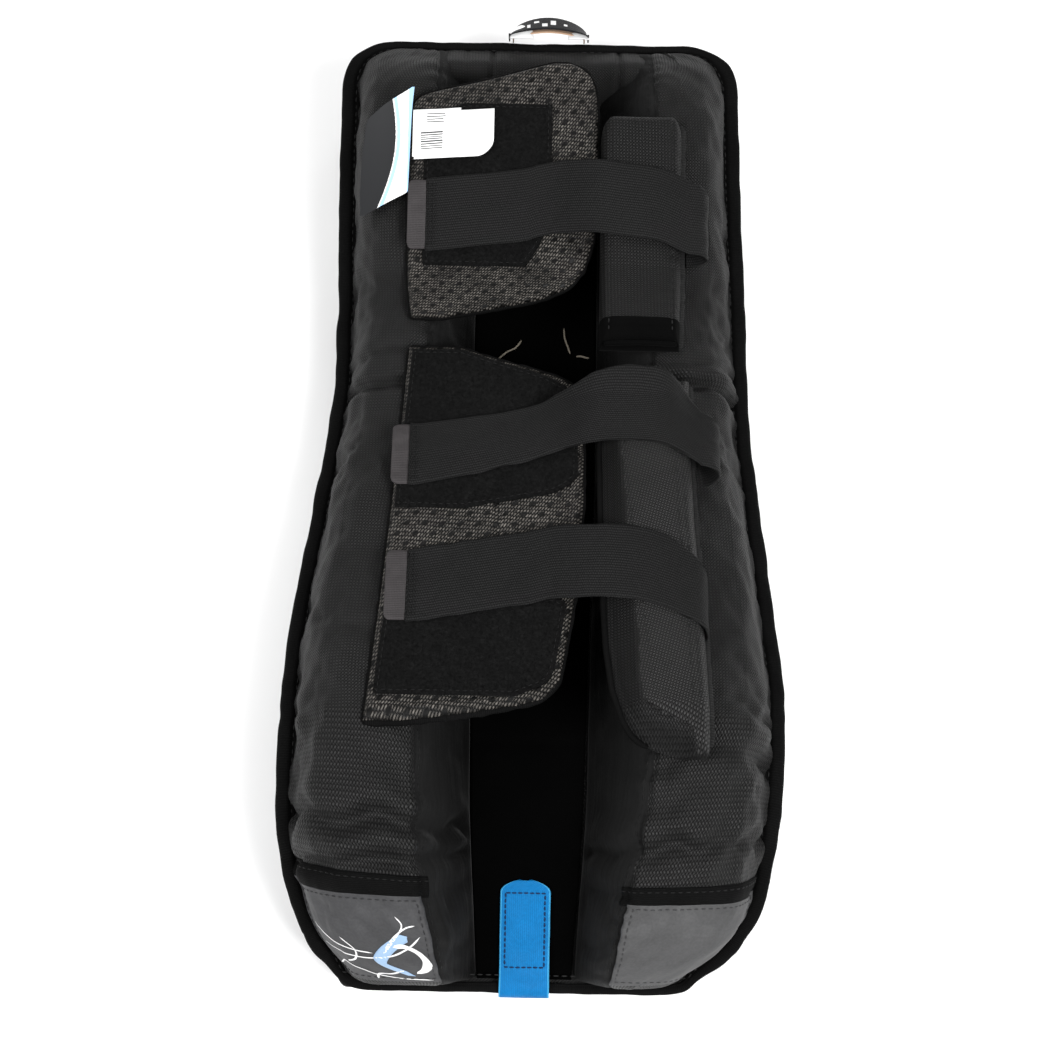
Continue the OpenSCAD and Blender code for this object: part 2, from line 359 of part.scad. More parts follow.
face_cover();
toe_cap();
thigh_end_cap();
boot_board();
shin_board();
knee_board();
thigh_board();
shin_stiffener();
back_cover();
edge_binding();
toe_binding();
channel_liner_boot();
channel_liner_shin();
channel_liner_thigh();
left_calf_bolster_cover();
left_calf_bolster_foam();
left_thigh_bolster_cover();
left_thigh_bolster_foam();
right_calf_bolster_cover();
right_calf_bolster_foam();
right_thigh_bolster_cover();
right_thigh_bolster_foam();
left_boot_patch();
right_boot_patch();
foot_strap();
hang_loop();
hang_loop_ends();
hang_tag();
lace_ends();
knee_strap_anchor();
upper_calf_strap_anchor();
knee_block_cover();
knee_block_foam();
knee_block_piping();
calf_wing_cover();
calf_wing_foam();
calf_wing_piping();
lower_calf_strap_anchor();
knee_flap_cover();
knee_flap_foam();
knee_loop_panel();
care_label();
calf_wrap_cover();
calf_wrap_foam();
upper_calf_loop_panel();
lower_calf_loop_panel();
knee_strap();
knee_strap_tab();
knee_strap_hook();
upper_calf_strap();
upper_calf_strap_tab();
upper_calf_strap_hook();
lower_calf_strap();
lower_calf_strap_tab();
lower_calf_strap_hook();
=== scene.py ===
import bpy
import math
import numpy as np
from mathutils import Vector, Matrix


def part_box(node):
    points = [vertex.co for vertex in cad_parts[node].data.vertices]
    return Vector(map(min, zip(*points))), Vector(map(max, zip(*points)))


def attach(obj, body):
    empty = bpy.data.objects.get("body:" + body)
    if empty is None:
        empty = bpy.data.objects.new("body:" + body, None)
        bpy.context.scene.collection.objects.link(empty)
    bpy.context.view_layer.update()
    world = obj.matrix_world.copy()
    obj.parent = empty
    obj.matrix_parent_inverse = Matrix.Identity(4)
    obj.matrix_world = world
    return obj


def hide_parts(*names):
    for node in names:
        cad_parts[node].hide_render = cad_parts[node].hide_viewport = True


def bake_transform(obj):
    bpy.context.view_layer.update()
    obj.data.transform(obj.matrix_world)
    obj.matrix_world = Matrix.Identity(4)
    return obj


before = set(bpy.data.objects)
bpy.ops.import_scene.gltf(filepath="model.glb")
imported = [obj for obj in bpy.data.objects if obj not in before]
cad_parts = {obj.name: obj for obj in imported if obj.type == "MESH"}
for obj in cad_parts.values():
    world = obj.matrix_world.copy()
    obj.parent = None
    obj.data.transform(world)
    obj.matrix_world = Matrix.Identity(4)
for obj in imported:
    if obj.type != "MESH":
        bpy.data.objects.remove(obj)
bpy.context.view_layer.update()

# ------------------------------------------------------------------ the pad's own coordinates
# x across, v along the front face from the toe, w above the front face, all in mm.
MX, MY = 2.2, 298.0
SLOPE = np.array([(-60, 17.5), (68, 17.5), (128, -8), (288, -8), (332, 0), (385, 0), (440, 10), (700, 10)], float)
VS = np.arange(-60.0, 680.01, 0.5)
_a = np.radians(np.interp(VS, SLOPE[:, 0], SLOPE[:, 1]))
_am = (_a[1:] + _a[:-1]) / 2
YS = np.concatenate([[0], np.cumsum(np.cos(_am) * 0.5)])
ZS = np.concatenate([[0], np.cumsum(np.sin(_am) * 0.5)])
_i0 = int(np.argmin(abs(VS)))
YS = YS - YS[_i0]
ZS = ZS - ZS[_i0]
ZS = ZS - min(ZS[VS >= 0].min(), ZS[_i0])


def bend(x, v, w):
    x, v, w = np.broadcast_arrays(np.asarray(x, float), np.asarray(v, float), np.asarray(w, float))
    a = np.radians(np.interp(v, SLOPE[:, 0], SLOPE[:, 1]))
    y = np.interp(v, VS, YS) - MY - w * np.sin(a)
    z = np.interp(v, VS, ZS) + w * np.cos(a)
    return np.stack([x - MX, y, z], -1) / 1000.0


def up_at(v):
    a = np.radians(np.interp(v, SLOPE[:, 0], SLOPE[:, 1]))
    return np.stack([np.zeros_like(a), -np.sin(a), np.cos(a)], -1)


def smooth1(y, s):
    if s <= 0:
        return y
    r = int(3 * s) + 1
    k = np.exp(-0.5 * (np.arange(-r, r + 1) / s) ** 2)
    k /= k.sum()
    yp = np.concatenate([2 * y[0] - y[r:0:-1], y, 2 * y[-1] - y[-2:-r - 2:-1]])
    return np.convolve(yp, k, "valid")


class Table:
    """Smoothed table of round numbers, read by interpolation."""
    def __init__(s, pts, sm=0.0, lo=-40, hi=660):
        s.g = np.arange(lo, hi + 0.5, 1.0)
        p = np.array(pts, float)
        s.y = smooth1(np.interp(s.g, p[:, 0], p[:, 1]), sm)

    def __call__(s, v):
        return np.interp(v, s.g, s.y)


XL = Table([(-40, -106), (0, -106), (8, -111), (22, -118), (34, -128), (50, -134), (64, -138), (80, -142), (100, -145), (150, -145), (185, -144), (216, -141), (256, -136), (284, -133), (330, -128), (357, -125), (430, -125), (500, -127), (566, -127), (660, -127)], 7)
XR = Table([(-40, 94), (0, 94), (8, 98), (18, 109), (27, 118), (38, 130), (53, 136), (69, 140), (82, 143), (104, 147), (132, 149), (157, 150), (189, 147), (222, 144), (255, 141), (289, 138), (336, 134), (362, 133), (437, 132), (470, 130), (503, 129), (537, 128), (566, 127), (660, 127)], 7)
CORE = Table([(-40, 20), (0, 22), (30, 26), (68, 35), (128, 40), (660, 40)], 6)
CROWN = Table([(-40, 20), (0, 42), (10, 56), (22, 70), (40, 81), (68, 88), (104, 91), (128, 93), (545, 93), (566, 87), (582, 74), (592, 62), (606, 48), (660, 30)], 4)


def core(v): return CORE(v)
def deck(v): return CORE(v) + 2.2


# deterministic band-limited noise
def waves(seed, n, lo, hi, dim=2):
    r = np.random.RandomState(seed)
    th = r.uniform(0, 2 * math.pi, n)
    lam = np.exp(r.uniform(math.log(lo), math.log(hi), n))
    ph = r.uniform(0, 2 * math.pi, n)
    return th, 2 * math.pi / lam, ph


def noise2(x, y, seed, lo, hi, n=14):
    th, k, ph = waves(seed, n, lo, hi)
    o = 0
    for a, b, c in zip(th, k, ph):
        o = o + np.sin((x * math.cos(a) + y * math.sin(a)) * b + c)
    return o / math.sqrt(n)


def noise1(x, seed, lo, hi, n=7):
    _, k, ph = waves(seed, n, lo, hi)
    o = 0
    for b, c in zip(k, ph):
        o = o + np.sin(x * b + c)
    return o / math.sqrt(n)


def bump(d, s): return np.exp(-(d / s) ** 2)


def sstep(t):
    t = np.clip(t, 0, 1)
    return t * t * (3 - 2 * t)


# ------------------------------------------------------------------ meshes
def mesh_np(name, V, F, mats, fab=None, mat_idx=None, smooth=True):
    V = np.asarray(V, np.float32).reshape(-1, 3)
    me = bpy.data.meshes.new(name)
    faces = [np.asarray(f, np.int32).reshape(-1, len(f[0])) for f in (F if isinstance(F, list) else [F]) if len(f)]
    nl = sum(f.size for f in faces)
    nf = sum(len(f) for f in faces)
    me.vertices.add(len(V))
    me.vertices.foreach_set("co", V.ravel())
    me.loops.add(nl)
    me.loops.foreach_set("vertex_index", np.concatenate([f.ravel() for f in faces]))
    me.polygons.add(nf)
    starts, tot = [], 0
    for f in faces:
        starts.append(tot + np.arange(len(f)) * f.shape[1])
        tot += f.size
    me.polygons.foreach_set("loop_start", np.concatenate(starts).astype(np.int32))
    me.update(calc_edges=True)
    me.validate()
    if mat_idx is not None:
        me.polygons.foreach_set("material_index", np.asarray(mat_idx, np.int32))
    me.polygons.foreach_set("use_smooth", np.full(len(me.polygons), smooth))
    if fab is not None:
        at = me.attributes.new("fab", "FLOAT_VECTOR", "POINT")
        fb = np.zeros((len(V), 3), np.float32)
        fab = np.asarray(fab, np.float32).reshape(-1, fab.shape[-1])
        fb[:, :fab.shape[1]] = fab
        at.data.foreach_set("vector", fb.ravel())
    ob = bpy.data.objects.new(name, me)
    bpy.context.scene.collection.objects.link(ob)
    for m in (mats if isinstance(mats, (list, tuple)) else [mats]):
        me.materials.append(m)
    return ob


def grid_faces(n, k, closed_k=False, closed_n=False, off=0):
    i = np.arange(n if closed_n else n - 1)
    j = np.arange(k if closed_k else k - 1)
    I, J = np.meshgrid(i, j, indexing="ij")
    I2, J2 = (I + 1) % n, (J + 1) % k
    return (np.stack([I * k + J, I * k + J2, I2 * k + J2, I2 * k + J], -1).reshape(-1, 4) + off)


def arc_uv(R):
    """Distance along rings and round rings, in metres, as a grid."""
    dk = np.linalg.norm(np.diff(R, axis=1), axis=2)
    u = np.concatenate([np.zeros((R.shape[0], 1)), np.cumsum(dk, 1)], 1)
    dn = np.linalg.norm(np.diff(R, axis=0), axis=2)
    v = np.concatenate([np.zeros((1, R.shape[1])), np.cumsum(dn, 0)], 0)
    return u, v


def loft(name, R, mats, fab=None, col_mat=None, caps=True, flip=False, closed_n=False, smooth=True, cap_mat=0):
    """Closed solid through rings R (n, k, 3), each closed round k."""
    n, k = R.shape[:2]
    F = grid_faces(n, k, True, closed_n)
    V = R.reshape(-1, 3)
    mi = np.zeros(len(F), int)
    if col_mat is not None:
        cm = np.asarray(col_mat)
        if cm.ndim == 1:
            mi = np.tile(cm[:k], n if closed_n else n - 1)
        else:
            mi = cm.reshape(-1)
    if fab is None:
        u, v = arc_uv(R)
        fab = np.stack([u, v, u * 0], -1)
    fabf = fab.reshape(-1, fab.shape[-1])
    T = []
    if caps and not closed_n:
        c0, c1 = R[0].mean(0), R[-1].mean(0)
        V = np.concatenate([V, [c0, c1]])
        fabf = np.concatenate([fabf, [fab[0].mean(0), fab[-1].mean(0)]])
        j = np.arange(k)
        a, b = len(V) - 2, len(V) - 1
        T = np.concatenate([np.stack([np.full(k, a), (j + 1) % k, j], -1), np.stack([np.full(k, b), (n - 1) * k + j, (n - 1) * k + (j + 1) % k], -1)])
        mi = np.concatenate([mi, np.full(2 * k, cap_mat)])
    if flip:
        F = F[:, ::-1]
        if len(T):
            T = T[:, ::-1]
    return mesh_np(name, V, [F] + ([T] if len(T) else []), mats, fabf, mi, smooth)


def catmull(P, k, closed=False):
    """k points spread evenly along a smooth curve through P (m, d)."""
    P = np.asarray(P, float)
    m = len(P)
    if closed:
        Q = np.concatenate([P[-1:], P, P[:2]])
        segs = m
    else:
        Q = np.concatenate([[2 * P[0] - P[1]], P, [2 * P[-1] - P[-2]]])
        segs = m - 1
    out = []
    for s in range(segs):
        p0, p1, p2, p3 = Q[s:s + 4]
        t = np.linspace(0, 1, 24, endpoint=False)[:, None]
        out.append(0.5 * (2 * p1 + (p2 - p0) * t + (2 * p0 - 5 * p1 + 4 * p2 - p3) * t ** 2 + (3 * p1 - p0 - 3 * p2 + p3) * t ** 3))
    out = np.concatenate(out + ([P[:1]] if closed else [P[-1:]]))
    return resample(out, k, closed)


def resample(C, k, closed=False):
    L = np.concatenate([[0], np.cumsum(np.linalg.norm(np.diff(C, axis=0), axis=1))])
    s = np.linspace(0, L[-1], k + 1)[:-1] if closed else np.linspace(0, L[-1], k)
    return np.stack([np.interp(s, L, C[:, d]) for d in range(C.shape[1])], -1)


# a tube with round ends
def tube(name, P, r, mat, k=10, taper=0.0):
    P = np.asarray(P, float)
    n = len(P)
    T = np.gradient(P, axis=0)
    T /= np.linalg.norm(T, axis=1)[:, None]
    N = np.zeros_like(T)
    ref = np.array([0.3, 0.2, 1.0])
    a = np.cross(T[0], ref)
    a /= np.linalg.norm(a)
    for i in range(n):
        a = a - T[i] * (a @ T[i])
        a /= np.linalg.norm(a)
        N[i] = a
    B = np.cross(T, N)
    rr = np.full(n, r) if np.isscalar(r) else np.asarray(r)
    e = min(3, n // 3)
    rr = rr.copy()
    for i in range(e):
        f = math.sqrt(max(0.0, 1 - (1 - (i + 0.35) / e) ** 2))
        rr[i] *= f
        rr[-1 - i] *= f
    th = np.arange(k) * 2 * math.pi / k
    R = P[:, None] + rr[:, None, None] * (N[:, None] * np.cos(th)[None, :, None] + B[:, None] * np.sin(th)[None, :, None])
    return loft(name, R, mat)


# ------------------------------------------------------------------ sewing thread
_t = np.linspace(0, 1, 7)
_th = np.arange(6) * 2 * math.pi / 6


def stitches(name, path, normal, mat, body, length=3.0, gap=1.4, r=0.42, sink=0.0, slot=None):
    """Short raised thread lengths along a path of points (metres), normals given at each point."""
    P = np.asarray(path, float)
    Nn = np.broadcast_to(np.asarray(normal, float), P.shape)
    L = np.concatenate([[0], np.cumsum(np.linalg.norm(np.diff(P, axis=0), axis=1))])
    length, gap, r = length / 1000, gap / 1000, r / 1000
    n = max(1, int((L[-1] + gap) / (length + gap)))
    pitch = (L[-1] + gap) / n
    V, F = [], []
    k = len(_th)
    for i in range(n):
        s = i * pitch + _t * (pitch - gap)
        c = np.stack([np.interp(s, L, P[:, d]) for d in range(3)], -1)
        nn = np.stack([np.interp(s, L, Nn[:, d]) for d in range(3)], -1)
        nn /= np.linalg.norm(nn, axis=1)[:, None] + 1e-12
        t = np.gradient(c, axis=0)
        t /= np.linalg.norm(t, axis=1)[:, None] + 1e-12
        b = np.cross(t, nn)
        env = np.sqrt(np.clip(1 - (2 * _t - 1) ** 2, 0.02, 1))
        h = (env - 0.55) * r - sink / 1000
        ring = c[:, None] + nn[:, None] * (h[:, None, None] + (env * r)[:, None, None] * 0.8 * np.sin(_th)[None, :, None]) + b[:, None] * ((env * r)[:, None, None] * np.cos(_th)[None, :, None])
        o = len(V) * (len(_t) * k + 2)
        V.append(np.concatenate([ring.reshape(-1, 3), [ring[0].mean(0), ring[-1].mean(0)]]))
        F.append(o)
    V = np.concatenate(V)
    base = grid_faces(len(_t), k, True)
    j = np.arange(k)
    a, bb, q = len(_t) * k, len(_t) * k + 1, (len(_t) - 1) * k
    tri = np.concatenate([np.stack([np.full(k, a), (j + 1) % k, j], -1), np.stack([np.full(k, bb), q + j, q + (j + 1) % k], -1)])
    FQ = np.concatenate([base + o for o in F])
    FT = np.concatenate([tri + o for o in F])
    ob = mesh_np(name, V, [FQ, FT], mat, V[:, :2] * 1.0)
    if body:
        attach(ob, body)
    return ob


# ------------------------------------------------------------------ materials
class Mat:
    def __init__(s, name):
        s.m = bpy.data.materials.new(name)
        s.m.use_nodes = True
        s.t = s.m.node_tree
        s.b = s.t.nodes["Principled BSDF"]
        s.x = 0

    def node(s, kind, **kw):
        n = s.t.nodes.new(kind)
        s.x -= 40
        n.location = (s.x, 0)
        for k, v in kw.items():
            setattr(n, k, v)
        return n

    def link(s, a, b):
        s.t.links.new(a, b)

    def put(s, sock, val):
        if hasattr(val, "is_output") or isinstance(val, bpy.types.NodeSocket):
            s.link(val, sock)
        else:
            sock.default_value = val

    def math(s, op, a, b=0.0, c=None, clamp=False):
        n = s.node("ShaderNodeMath", operation=op, use_clamp=clamp)
        s.put(n.inputs[0], a)
        s.put(n.inputs[1], b)
        if c is not None:
            s.put(n.inputs[2], c)
        return n.outputs[0]

    def fab(s):
        a = s.node("ShaderNodeAttribute", attribute_name="fab", attribute_type="GEOMETRY")
        q = s.node("ShaderNodeSeparateXYZ")
        s.link(a.outputs["Vector"], q.inputs[0])
        return q.outputs[0], q.outputs[1], a.outputs["Vector"]

    def pos(s):
        return s.node("ShaderNodeTexCoord").outputs["Object"]

    def noise(s, vec, scale, detail=2.0, rough=0.5, dist=0.0):
        n = s.node("ShaderNodeTexNoise")
        s.link(vec, n.inputs["Vector"])
        n.inputs["Scale"].default_value = scale
        n.inputs["Detail"].default_value = detail
        n.inputs["Roughness"].default_value = rough
        n.inputs["Distortion"].default_value = dist
        return n.outputs[0]

    def ramp(s, f, stops):
        n = s.node("ShaderNodeValToRGB")
        s.link(f, n.inputs[0])
        e = n.color_ramp.elements
        while len(e) > 1:
            e.remove(e[-1])
        e[0].position = stops[0][0]
        e[0].color = (*stops[0][1], 1)
        for p, c in stops[1:]:
            x = e.new(p)
            x.color = (*c, 1)
        return n.outputs[0]

    def mixc(s, f, a, b, mode="MIX"):
        n = s.node("ShaderNodeMix", data_type="RGBA", blend_type=mode)
        s.put(n.inputs[0], f)
        for i, v in ((6, a), (7, b)):
            if isinstance(v, tuple):
                n.inputs[i].default_value = (*v, 1)
            else:
                s.link(v, n.inputs[i])
        return n.outputs[2]

    def map(s, f, a0, a1, b0, b1):
        n = s.node("ShaderNodeMapRange")
        s.put(n.inputs[0], f)
        for i, v in enumerate((a0, a1, b0, b1)):
            n.inputs[i + 1].default_value = v
        return n.outputs[0]

    def bumpn(s, h, strength, dist, prev=None):
        n = s.node("ShaderNodeBump")
        n.inputs["Strength"].default_value = strength
        n.inputs["Distance"].default_value = dist
        s.link(h, n.inputs["Height"])
        if prev is not None:
            s.link(prev, n.inputs["Normal"])
        return n.outputs[0]

    def weave(s, u, v, p, q=None):
        """Plain weave: height 0 to 1, and which thread is on top."""
        q = q or p
        U, V = s.math("MULTIPLY", u, 1 / p), s.math("MULTIPLY", v, 1 / q)
        fu = s.math("SUBTRACT", s.math("FRACT", U), 0.5)
        fv = s.math("SUBTRACT", s.math("FRACT", V), 0.5)
        su, sv = s.math("MULTIPLY", fu, fu), s.math("MULTIPLY", fv, fv)
        c = s.math("PINGPONG", s.math("ADD", s.math("FLOOR", U), s.math("FLOOR", V)), 1.0)
        a = s.math("SUBTRACT", 1.0, s.math("ADD", s.math("MULTIPLY", su, 3.6), s.math("MULTIPLY", sv, 1.6)))
        b = s.math("SUBTRACT", 1.0, s.math("ADD", s.math("MULTIPLY", sv, 3.6), s.math("MULTIPLY", su, 1.6)))
        n = s.node("ShaderNodeMix", data_type="FLOAT")
        s.link(c, n.inputs[0])
        s.link(a, n.inputs[2])
        s.link(b, n.inputs[3])
        return n.outputs[0], c

    def done(s, color=None, rough=None, normal=None, sheen=0.0, sheen_tint=(1, 1, 1), spec=0.5, metal=0.0, sheen_rough=0.4):
        if color is not None:
            s.put(s.b.inputs["Base Color"], (*color, 1) if isinstance(color, tuple) else color)
        if rough is not None:
            s.put(s.b.inputs["Roughness"], rough)
        if normal is not None:
            s.link(normal, s.b.inputs["Normal"])
        s.b.inputs["Sheen Weight"].default_value = sheen
        s.b.inputs["Sheen Roughness"].default_value = sheen_rough
        s.b.inputs["Sheen Tint"].default_value = (*sheen_tint, 1)
        s.b.inputs["Specular IOR Level"].default_value = spec
        s.b.inputs["Metallic"].default_value = metal
        return s.m


def grey(v): return (v, v, v)


def m_nylon(name, base=0.0088, pitch=0.00128, rot=False, contrast=1.0, sheen=0.015):
    m = Mat(name)
    u, v, vec = m.fab()
    ca, sa = (0.87, 0.5) if rot else (0.72, 0.694)
    u, v = m.math("ADD", m.math("MULTIPLY", u, ca), m.math("MULTIPLY", v, sa)), m.math("SUBTRACT", m.math("MULTIPLY", v, ca), m.math("MULTIPLY", u, sa))
    wob = m.noise(vec, 260.0, 2.0)
    u = m.math("ADD", u, m.math("MULTIPLY", m.math("SUBTRACT", wob, 0.5), 0.0006))
    h, c = m.weave(u, v, pitch, pitch * 1.08)
    big = m.noise(vec, 14.0, 3.0, 0.6)
    yarn_glint = m.noise(vec, 900.0, 1.0)
    # weave colour: the raised yarns are lighter and the gaps between them darker as painted shade, the two thread
    # directions differ in tone, the fine noise at scale 900 adds painted glints on the yarns, and the big noise is
    # random tone
    k = m.math("MULTIPLY", m.map(h, 0.1, 1.0, 0.12, 1.5), m.map(c, 0.0, 1.0, 1.0 - 0.45 * contrast, 1.0 + 0.45 * contrast))
    k = m.math("MULTIPLY", k, m.map(big, 0.3, 0.7, 0.86, 1.14))
    k = m.math("MULTIPLY", k, m.map(yarn_glint, 0.3, 0.7, 0.8, 1.2))
    col = m.mixc(m.map(k, 0.0, 2.0, 0.0, 1.0), grey(0.0), (base * 2.0, base * 1.98, base * 1.96))
    n = m.bumpn(big, 0.15, 0.002)
    n = m.bumpn(h, 0.9, 0.0005, n)
    return m.done(col, m.map(h, 0.0, 1.0, 0.8, 0.42), n, sheen=sheen, spec=0.17)


def m_knit(name, base=0.02, scale=1500.0, sheen=0.04, spec=0.08):
    m = Mat(name)
    u, v, vec = m.fab()
    f = m.noise(vec, scale, 2.0, 0.6)
    big = m.noise(vec, 22.0, 3.0, 0.55)
    rib = m.math("SINE", m.math("MULTIPLY", u, 2 * math.pi / 0.0012))
    k = m.math("MULTIPLY", m.map(f, 0.25, 0.75, 0.6, 1.4), m.map(big, 0.3, 0.7, 0.8, 1.2))
    k = m.math("MULTIPLY", k, m.map(rib, -1.0, 1.0, 0.93, 1.07))
    # painted shade: the third fab value is depth down a channel wall, and from depth 0.1 to 0.8 the colour falls to 4%
    # of itself, darkening the wall towards the channel bottom
    q = m.node("ShaderNodeSeparateXYZ")
    m.link(vec, q.inputs[0])
    k = m.math("MULTIPLY", k, m.map(q.outputs[2], 0.1, 0.8, 1.0, 0.04))
    col = m.mixc(m.map(k, 0.0, 2.0, 0.0, 1.0), grey(0.0), grey(base * 2))
    n = m.bumpn(big, 0.2, 0.003)
    n = m.bumpn(f, 0.5, 0.0003, n)
    return m.done(col, 0.9, n, sheen=sheen, spec=spec)


def m_tape(name, base=0.0032, rib=0.0011):
    m = Mat(name)
    u, v, vec = m.fab()
    r = m.math("SINE", m.math("MULTIPLY", v, 2 * math.pi / rib))
    r2 = m.math("SINE", m.math("MULTIPLY", u, 2 * math.pi / (rib * 0.8)))
    h = m.math("MULTIPLY", m.map(r, -1.0, 1.0, 0.0, 1.0), m.map(r2, -1.0, 1.0, 0.6, 1.0))
    f = m.noise(vec, 700.0, 2.0)
    big = m.noise(vec, 30.0, 3.0)
    k = m.math("MULTIPLY", m.map(h, 0.0, 1.0, 0.6, 1.3), m.map(f, 0.3, 0.7, 0.8, 1.2))
    k = m.math("MULTIPLY", k, m.map(big, 0.3, 0.7, 0.75, 1.25))
    col = m.mixc(m.map(k, 0.0, 2.0, 0.0, 1.0), grey(0.0), grey(base * 2))
    n = m.bumpn(h, 0.5, 0.0003)
    return m.done(col, 0.8, n, sheen=0.004, spec=0.045)


def m_elastic(name, base=0.0082):
    m = Mat(name)
    u, v, vec = m.fab()
    # fine ribs along the strap, with the cross yarns between them
    rib = m.math("ABSOLUTE", m.math("SINE", m.math("MULTIPLY", v, math.pi / 0.0016)))
    row = m.math("FLOOR", m.math("MULTIPLY", v, 1 / 0.0016))
    sh = m.math("MULTIPLY", m.math("PINGPONG", row, 1.0), 0.0007)
    yarn = m.math("ABSOLUTE", m.math("SINE", m.math("MULTIPLY", m.math("ADD", u, sh), math.pi / 0.0014)))
    h = m.math("MULTIPLY", m.map(rib, 0.0, 1.0, 0.2, 1.0), m.map(yarn, 0.0, 1.0, 0.35, 1.0))
    f = m.noise(vec, 1200.0, 2.0)
    big = m.noise(vec, 20.0, 3.0)
    k = m.math("MULTIPLY", m.map(h, 0.1, 1.0, 0.1, 2.0), m.map(f, 0.3, 0.7, 0.6, 1.4))
    k = m.math("MULTIPLY", k, m.map(big, 0.3, 0.7, 0.9, 1.1))
    col = m.mixc(m.map(k, 0.0, 2.0, 0.0, 1.0), grey(0.0), grey(base * 2))
    n = m.bumpn(h, 0.9, 0.0004)
    return m.done(col, 0.7, n, sheen=0.01, spec=0.11)


def m_mesh(name):
    """Silver knitted spacer mesh: slanted light yarns and rows of dark holes."""
    m = Mat(name)
    u, v, vec = m.fab()
    wob = m.math("MULTIPLY", m.math("SUBTRACT", m.noise(vec, 120.0, 2.0), 0.5), 0.0012)
    u1 = m.math("ADD", u, wob)
    v1 = m.math("ADD", v, wob)
    # slanted yarns
    d = m.math("ADD", m.math("MULTIPLY", u1, 0.62), m.math("MULTIPLY", v1, 0.78))
    e = m.math("SUBTRACT", m.math("MULTIPLY", u1, 0.78), m.math("MULTIPLY", v1, 0.62))
    y1 = m.math("ABSOLUTE", m.math("SINE", m.math("MULTIPLY", e, math.pi / 0.00145)))
    sh = m.math("MULTIPLY", m.math("FLOOR", m.math("MULTIPLY", e, 1 / 0.00145)), 0.0021)
    seg = m.math("ABSOLUTE", m.math("SINE", m.math("MULTIPLY", m.math("ADD", d, sh), math.pi / 0.0031)))
    yarn = m.math("MULTIPLY", y1, m.math("POWER", seg, 0.7))
    # holes in staggered rows
    gu, gv = m.math("MULTIPLY", u1, 1 / 0.0105), m.math("MULTIPLY", v1, 1 / 0.0068)
    rowi = m.math("FLOOR", gv)
    gu = m.math("ADD", gu, m.math("MULTIPLY", m.math("PINGPONG", rowi, 1.0), 0.5))
    fu = m.math("SUBTRACT", m.math("FRACT", gu), 0.5)
    fv = m.math("SUBTRACT", m.math("FRACT", gv), 0.5)
    fv = m.math("ADD", fv, m.math("MULTIPLY", fu, -0.6))
    r2 = m.math("ADD", m.math("MULTIPLY", m.math("MULTIPLY", fu, fu), 1.6), m.math("MULTIPLY", fv, fv))
    hole = m.map(r2, 0.035, 0.075, 0.0, 1.0)
    f = m.noise(vec, 520.0, 3.0, 0.7)
    big = m.noise(vec, 38.0, 3.0)
    # yarn colour: silver yarns on a black base, with the fine noise at scale 520 raising bright specks on them as
    # painted glints
    k = m.math("MULTIPLY", m.map(yarn, 0.3, 1.0, 0.05, 1.5), m.map(f, 0.38, 0.62, 0.2, 2.0))
    k = m.math("MULTIPLY", k, m.map(hole, 0.0, 1.0, 0.05, 1.0))
    k = m.math("MULTIPLY", k, m.map(big, 0.3, 0.7, 0.55, 1.45))
    col = m.mixc(m.map(k, 0.0, 3.0, 0.0, 1.0), (0.0015, 0.0015, 0.0015), (0.15, 0.138, 0.124))
    h = m.math("MULTIPLY", m.map(yarn, 0.0, 1.0, 0.1, 1.0), hole)
    n = m.bumpn(h, 0.9, 0.0007)
    return m.done(col, 0.45, n, sheen=0.0, spec=0.13)


def m_loop(name, base=0.0042):
    m = Mat(name)
    u, v, vec = m.fab()
    f = m.noise(vec, 520.0, 4.0, 0.75, 0.6)
    c = m.noise(vec, 170.0, 3.0, 0.6)
    big = m.noise(vec, 40.0, 2.0)
    k = m.math("MULTIPLY", m.map(f, 0.3, 0.72, 0.1, 2.0), m.map(c, 0.3, 0.7, 0.7, 1.3))
    k = m.math("MULTIPLY", k, m.map(big, 0.3, 0.7, 0.85, 1.15))
    col = m.mixc(m.map(k, 0.0, 2.4, 0.0, 1.0), grey(0.001), grey(base * 2.6))
    n = m.bumpn(f, 0.9, 0.0012)
    return m.done(col, 0.95, n, sheen=0.02, spec=0.05)


def m_hook(name, base=(0.036, 0.032, 0.0335)):
    m = Mat(name)
    u, v, vec = m.fab()
    a = m.math("ABSOLUTE", m.math("SINE", m.math("MULTIPLY", v, math.pi / 0.0011)))
    b = m.math("ABSOLUTE", m.math("SINE", m.math("MULTIPLY", u, math.pi / 0.0009)))
    h = m.math("MULTIPLY", a, m.map(b, 0.0, 1.0, 0.55, 1.0))
    big = m.noise(vec, 90.0, 2.0)
    k = m.math("MULTIPLY", m.map(h, 0.0, 1.0, 0.5, 1.3), m.map(big, 0.3, 0.7, 0.85, 1.15))
    col = m.mixc(m.map(k, 0.0, 2.0, 0.0, 1.0), grey(0.0), tuple(2 * x for x in base))
    n = m.bumpn(h, 0.6, 0.0003)
    return m.done(col, 0.55, n, sheen=0.0, spec=0.25)


def m_vinyl(name, base=(0.13, 0.13, 0.132), rough=0.42, grain=1.0):
    m = Mat(name)
    u, v, vec = m.fab()
    g = m.noise(vec, 620.0, 3.0, 0.6)
    w = m.noise(vec, 55.0, 4.0, 0.6)
    k = m.math("MULTIPLY", m.map(g, 0.3, 0.7, 0.88, 1.12), m.map(w, 0.3, 0.7, 0.84, 1.16))
    col = m.mixc(m.map(k, 0.0, 2.0, 0.0, 1.0), grey(0.0), tuple(2 * x for x in base))
    n = m.bumpn(w, 0.12 * grain, 0.002)
    n = m.bumpn(g, 0.35 * grain, 0.00025, n)
    return m.done(col, m.map(w, 0.3, 0.7, rough - 0.06, rough + 0.08), n, spec=0.3 if rough < 0.5 else 0.18)


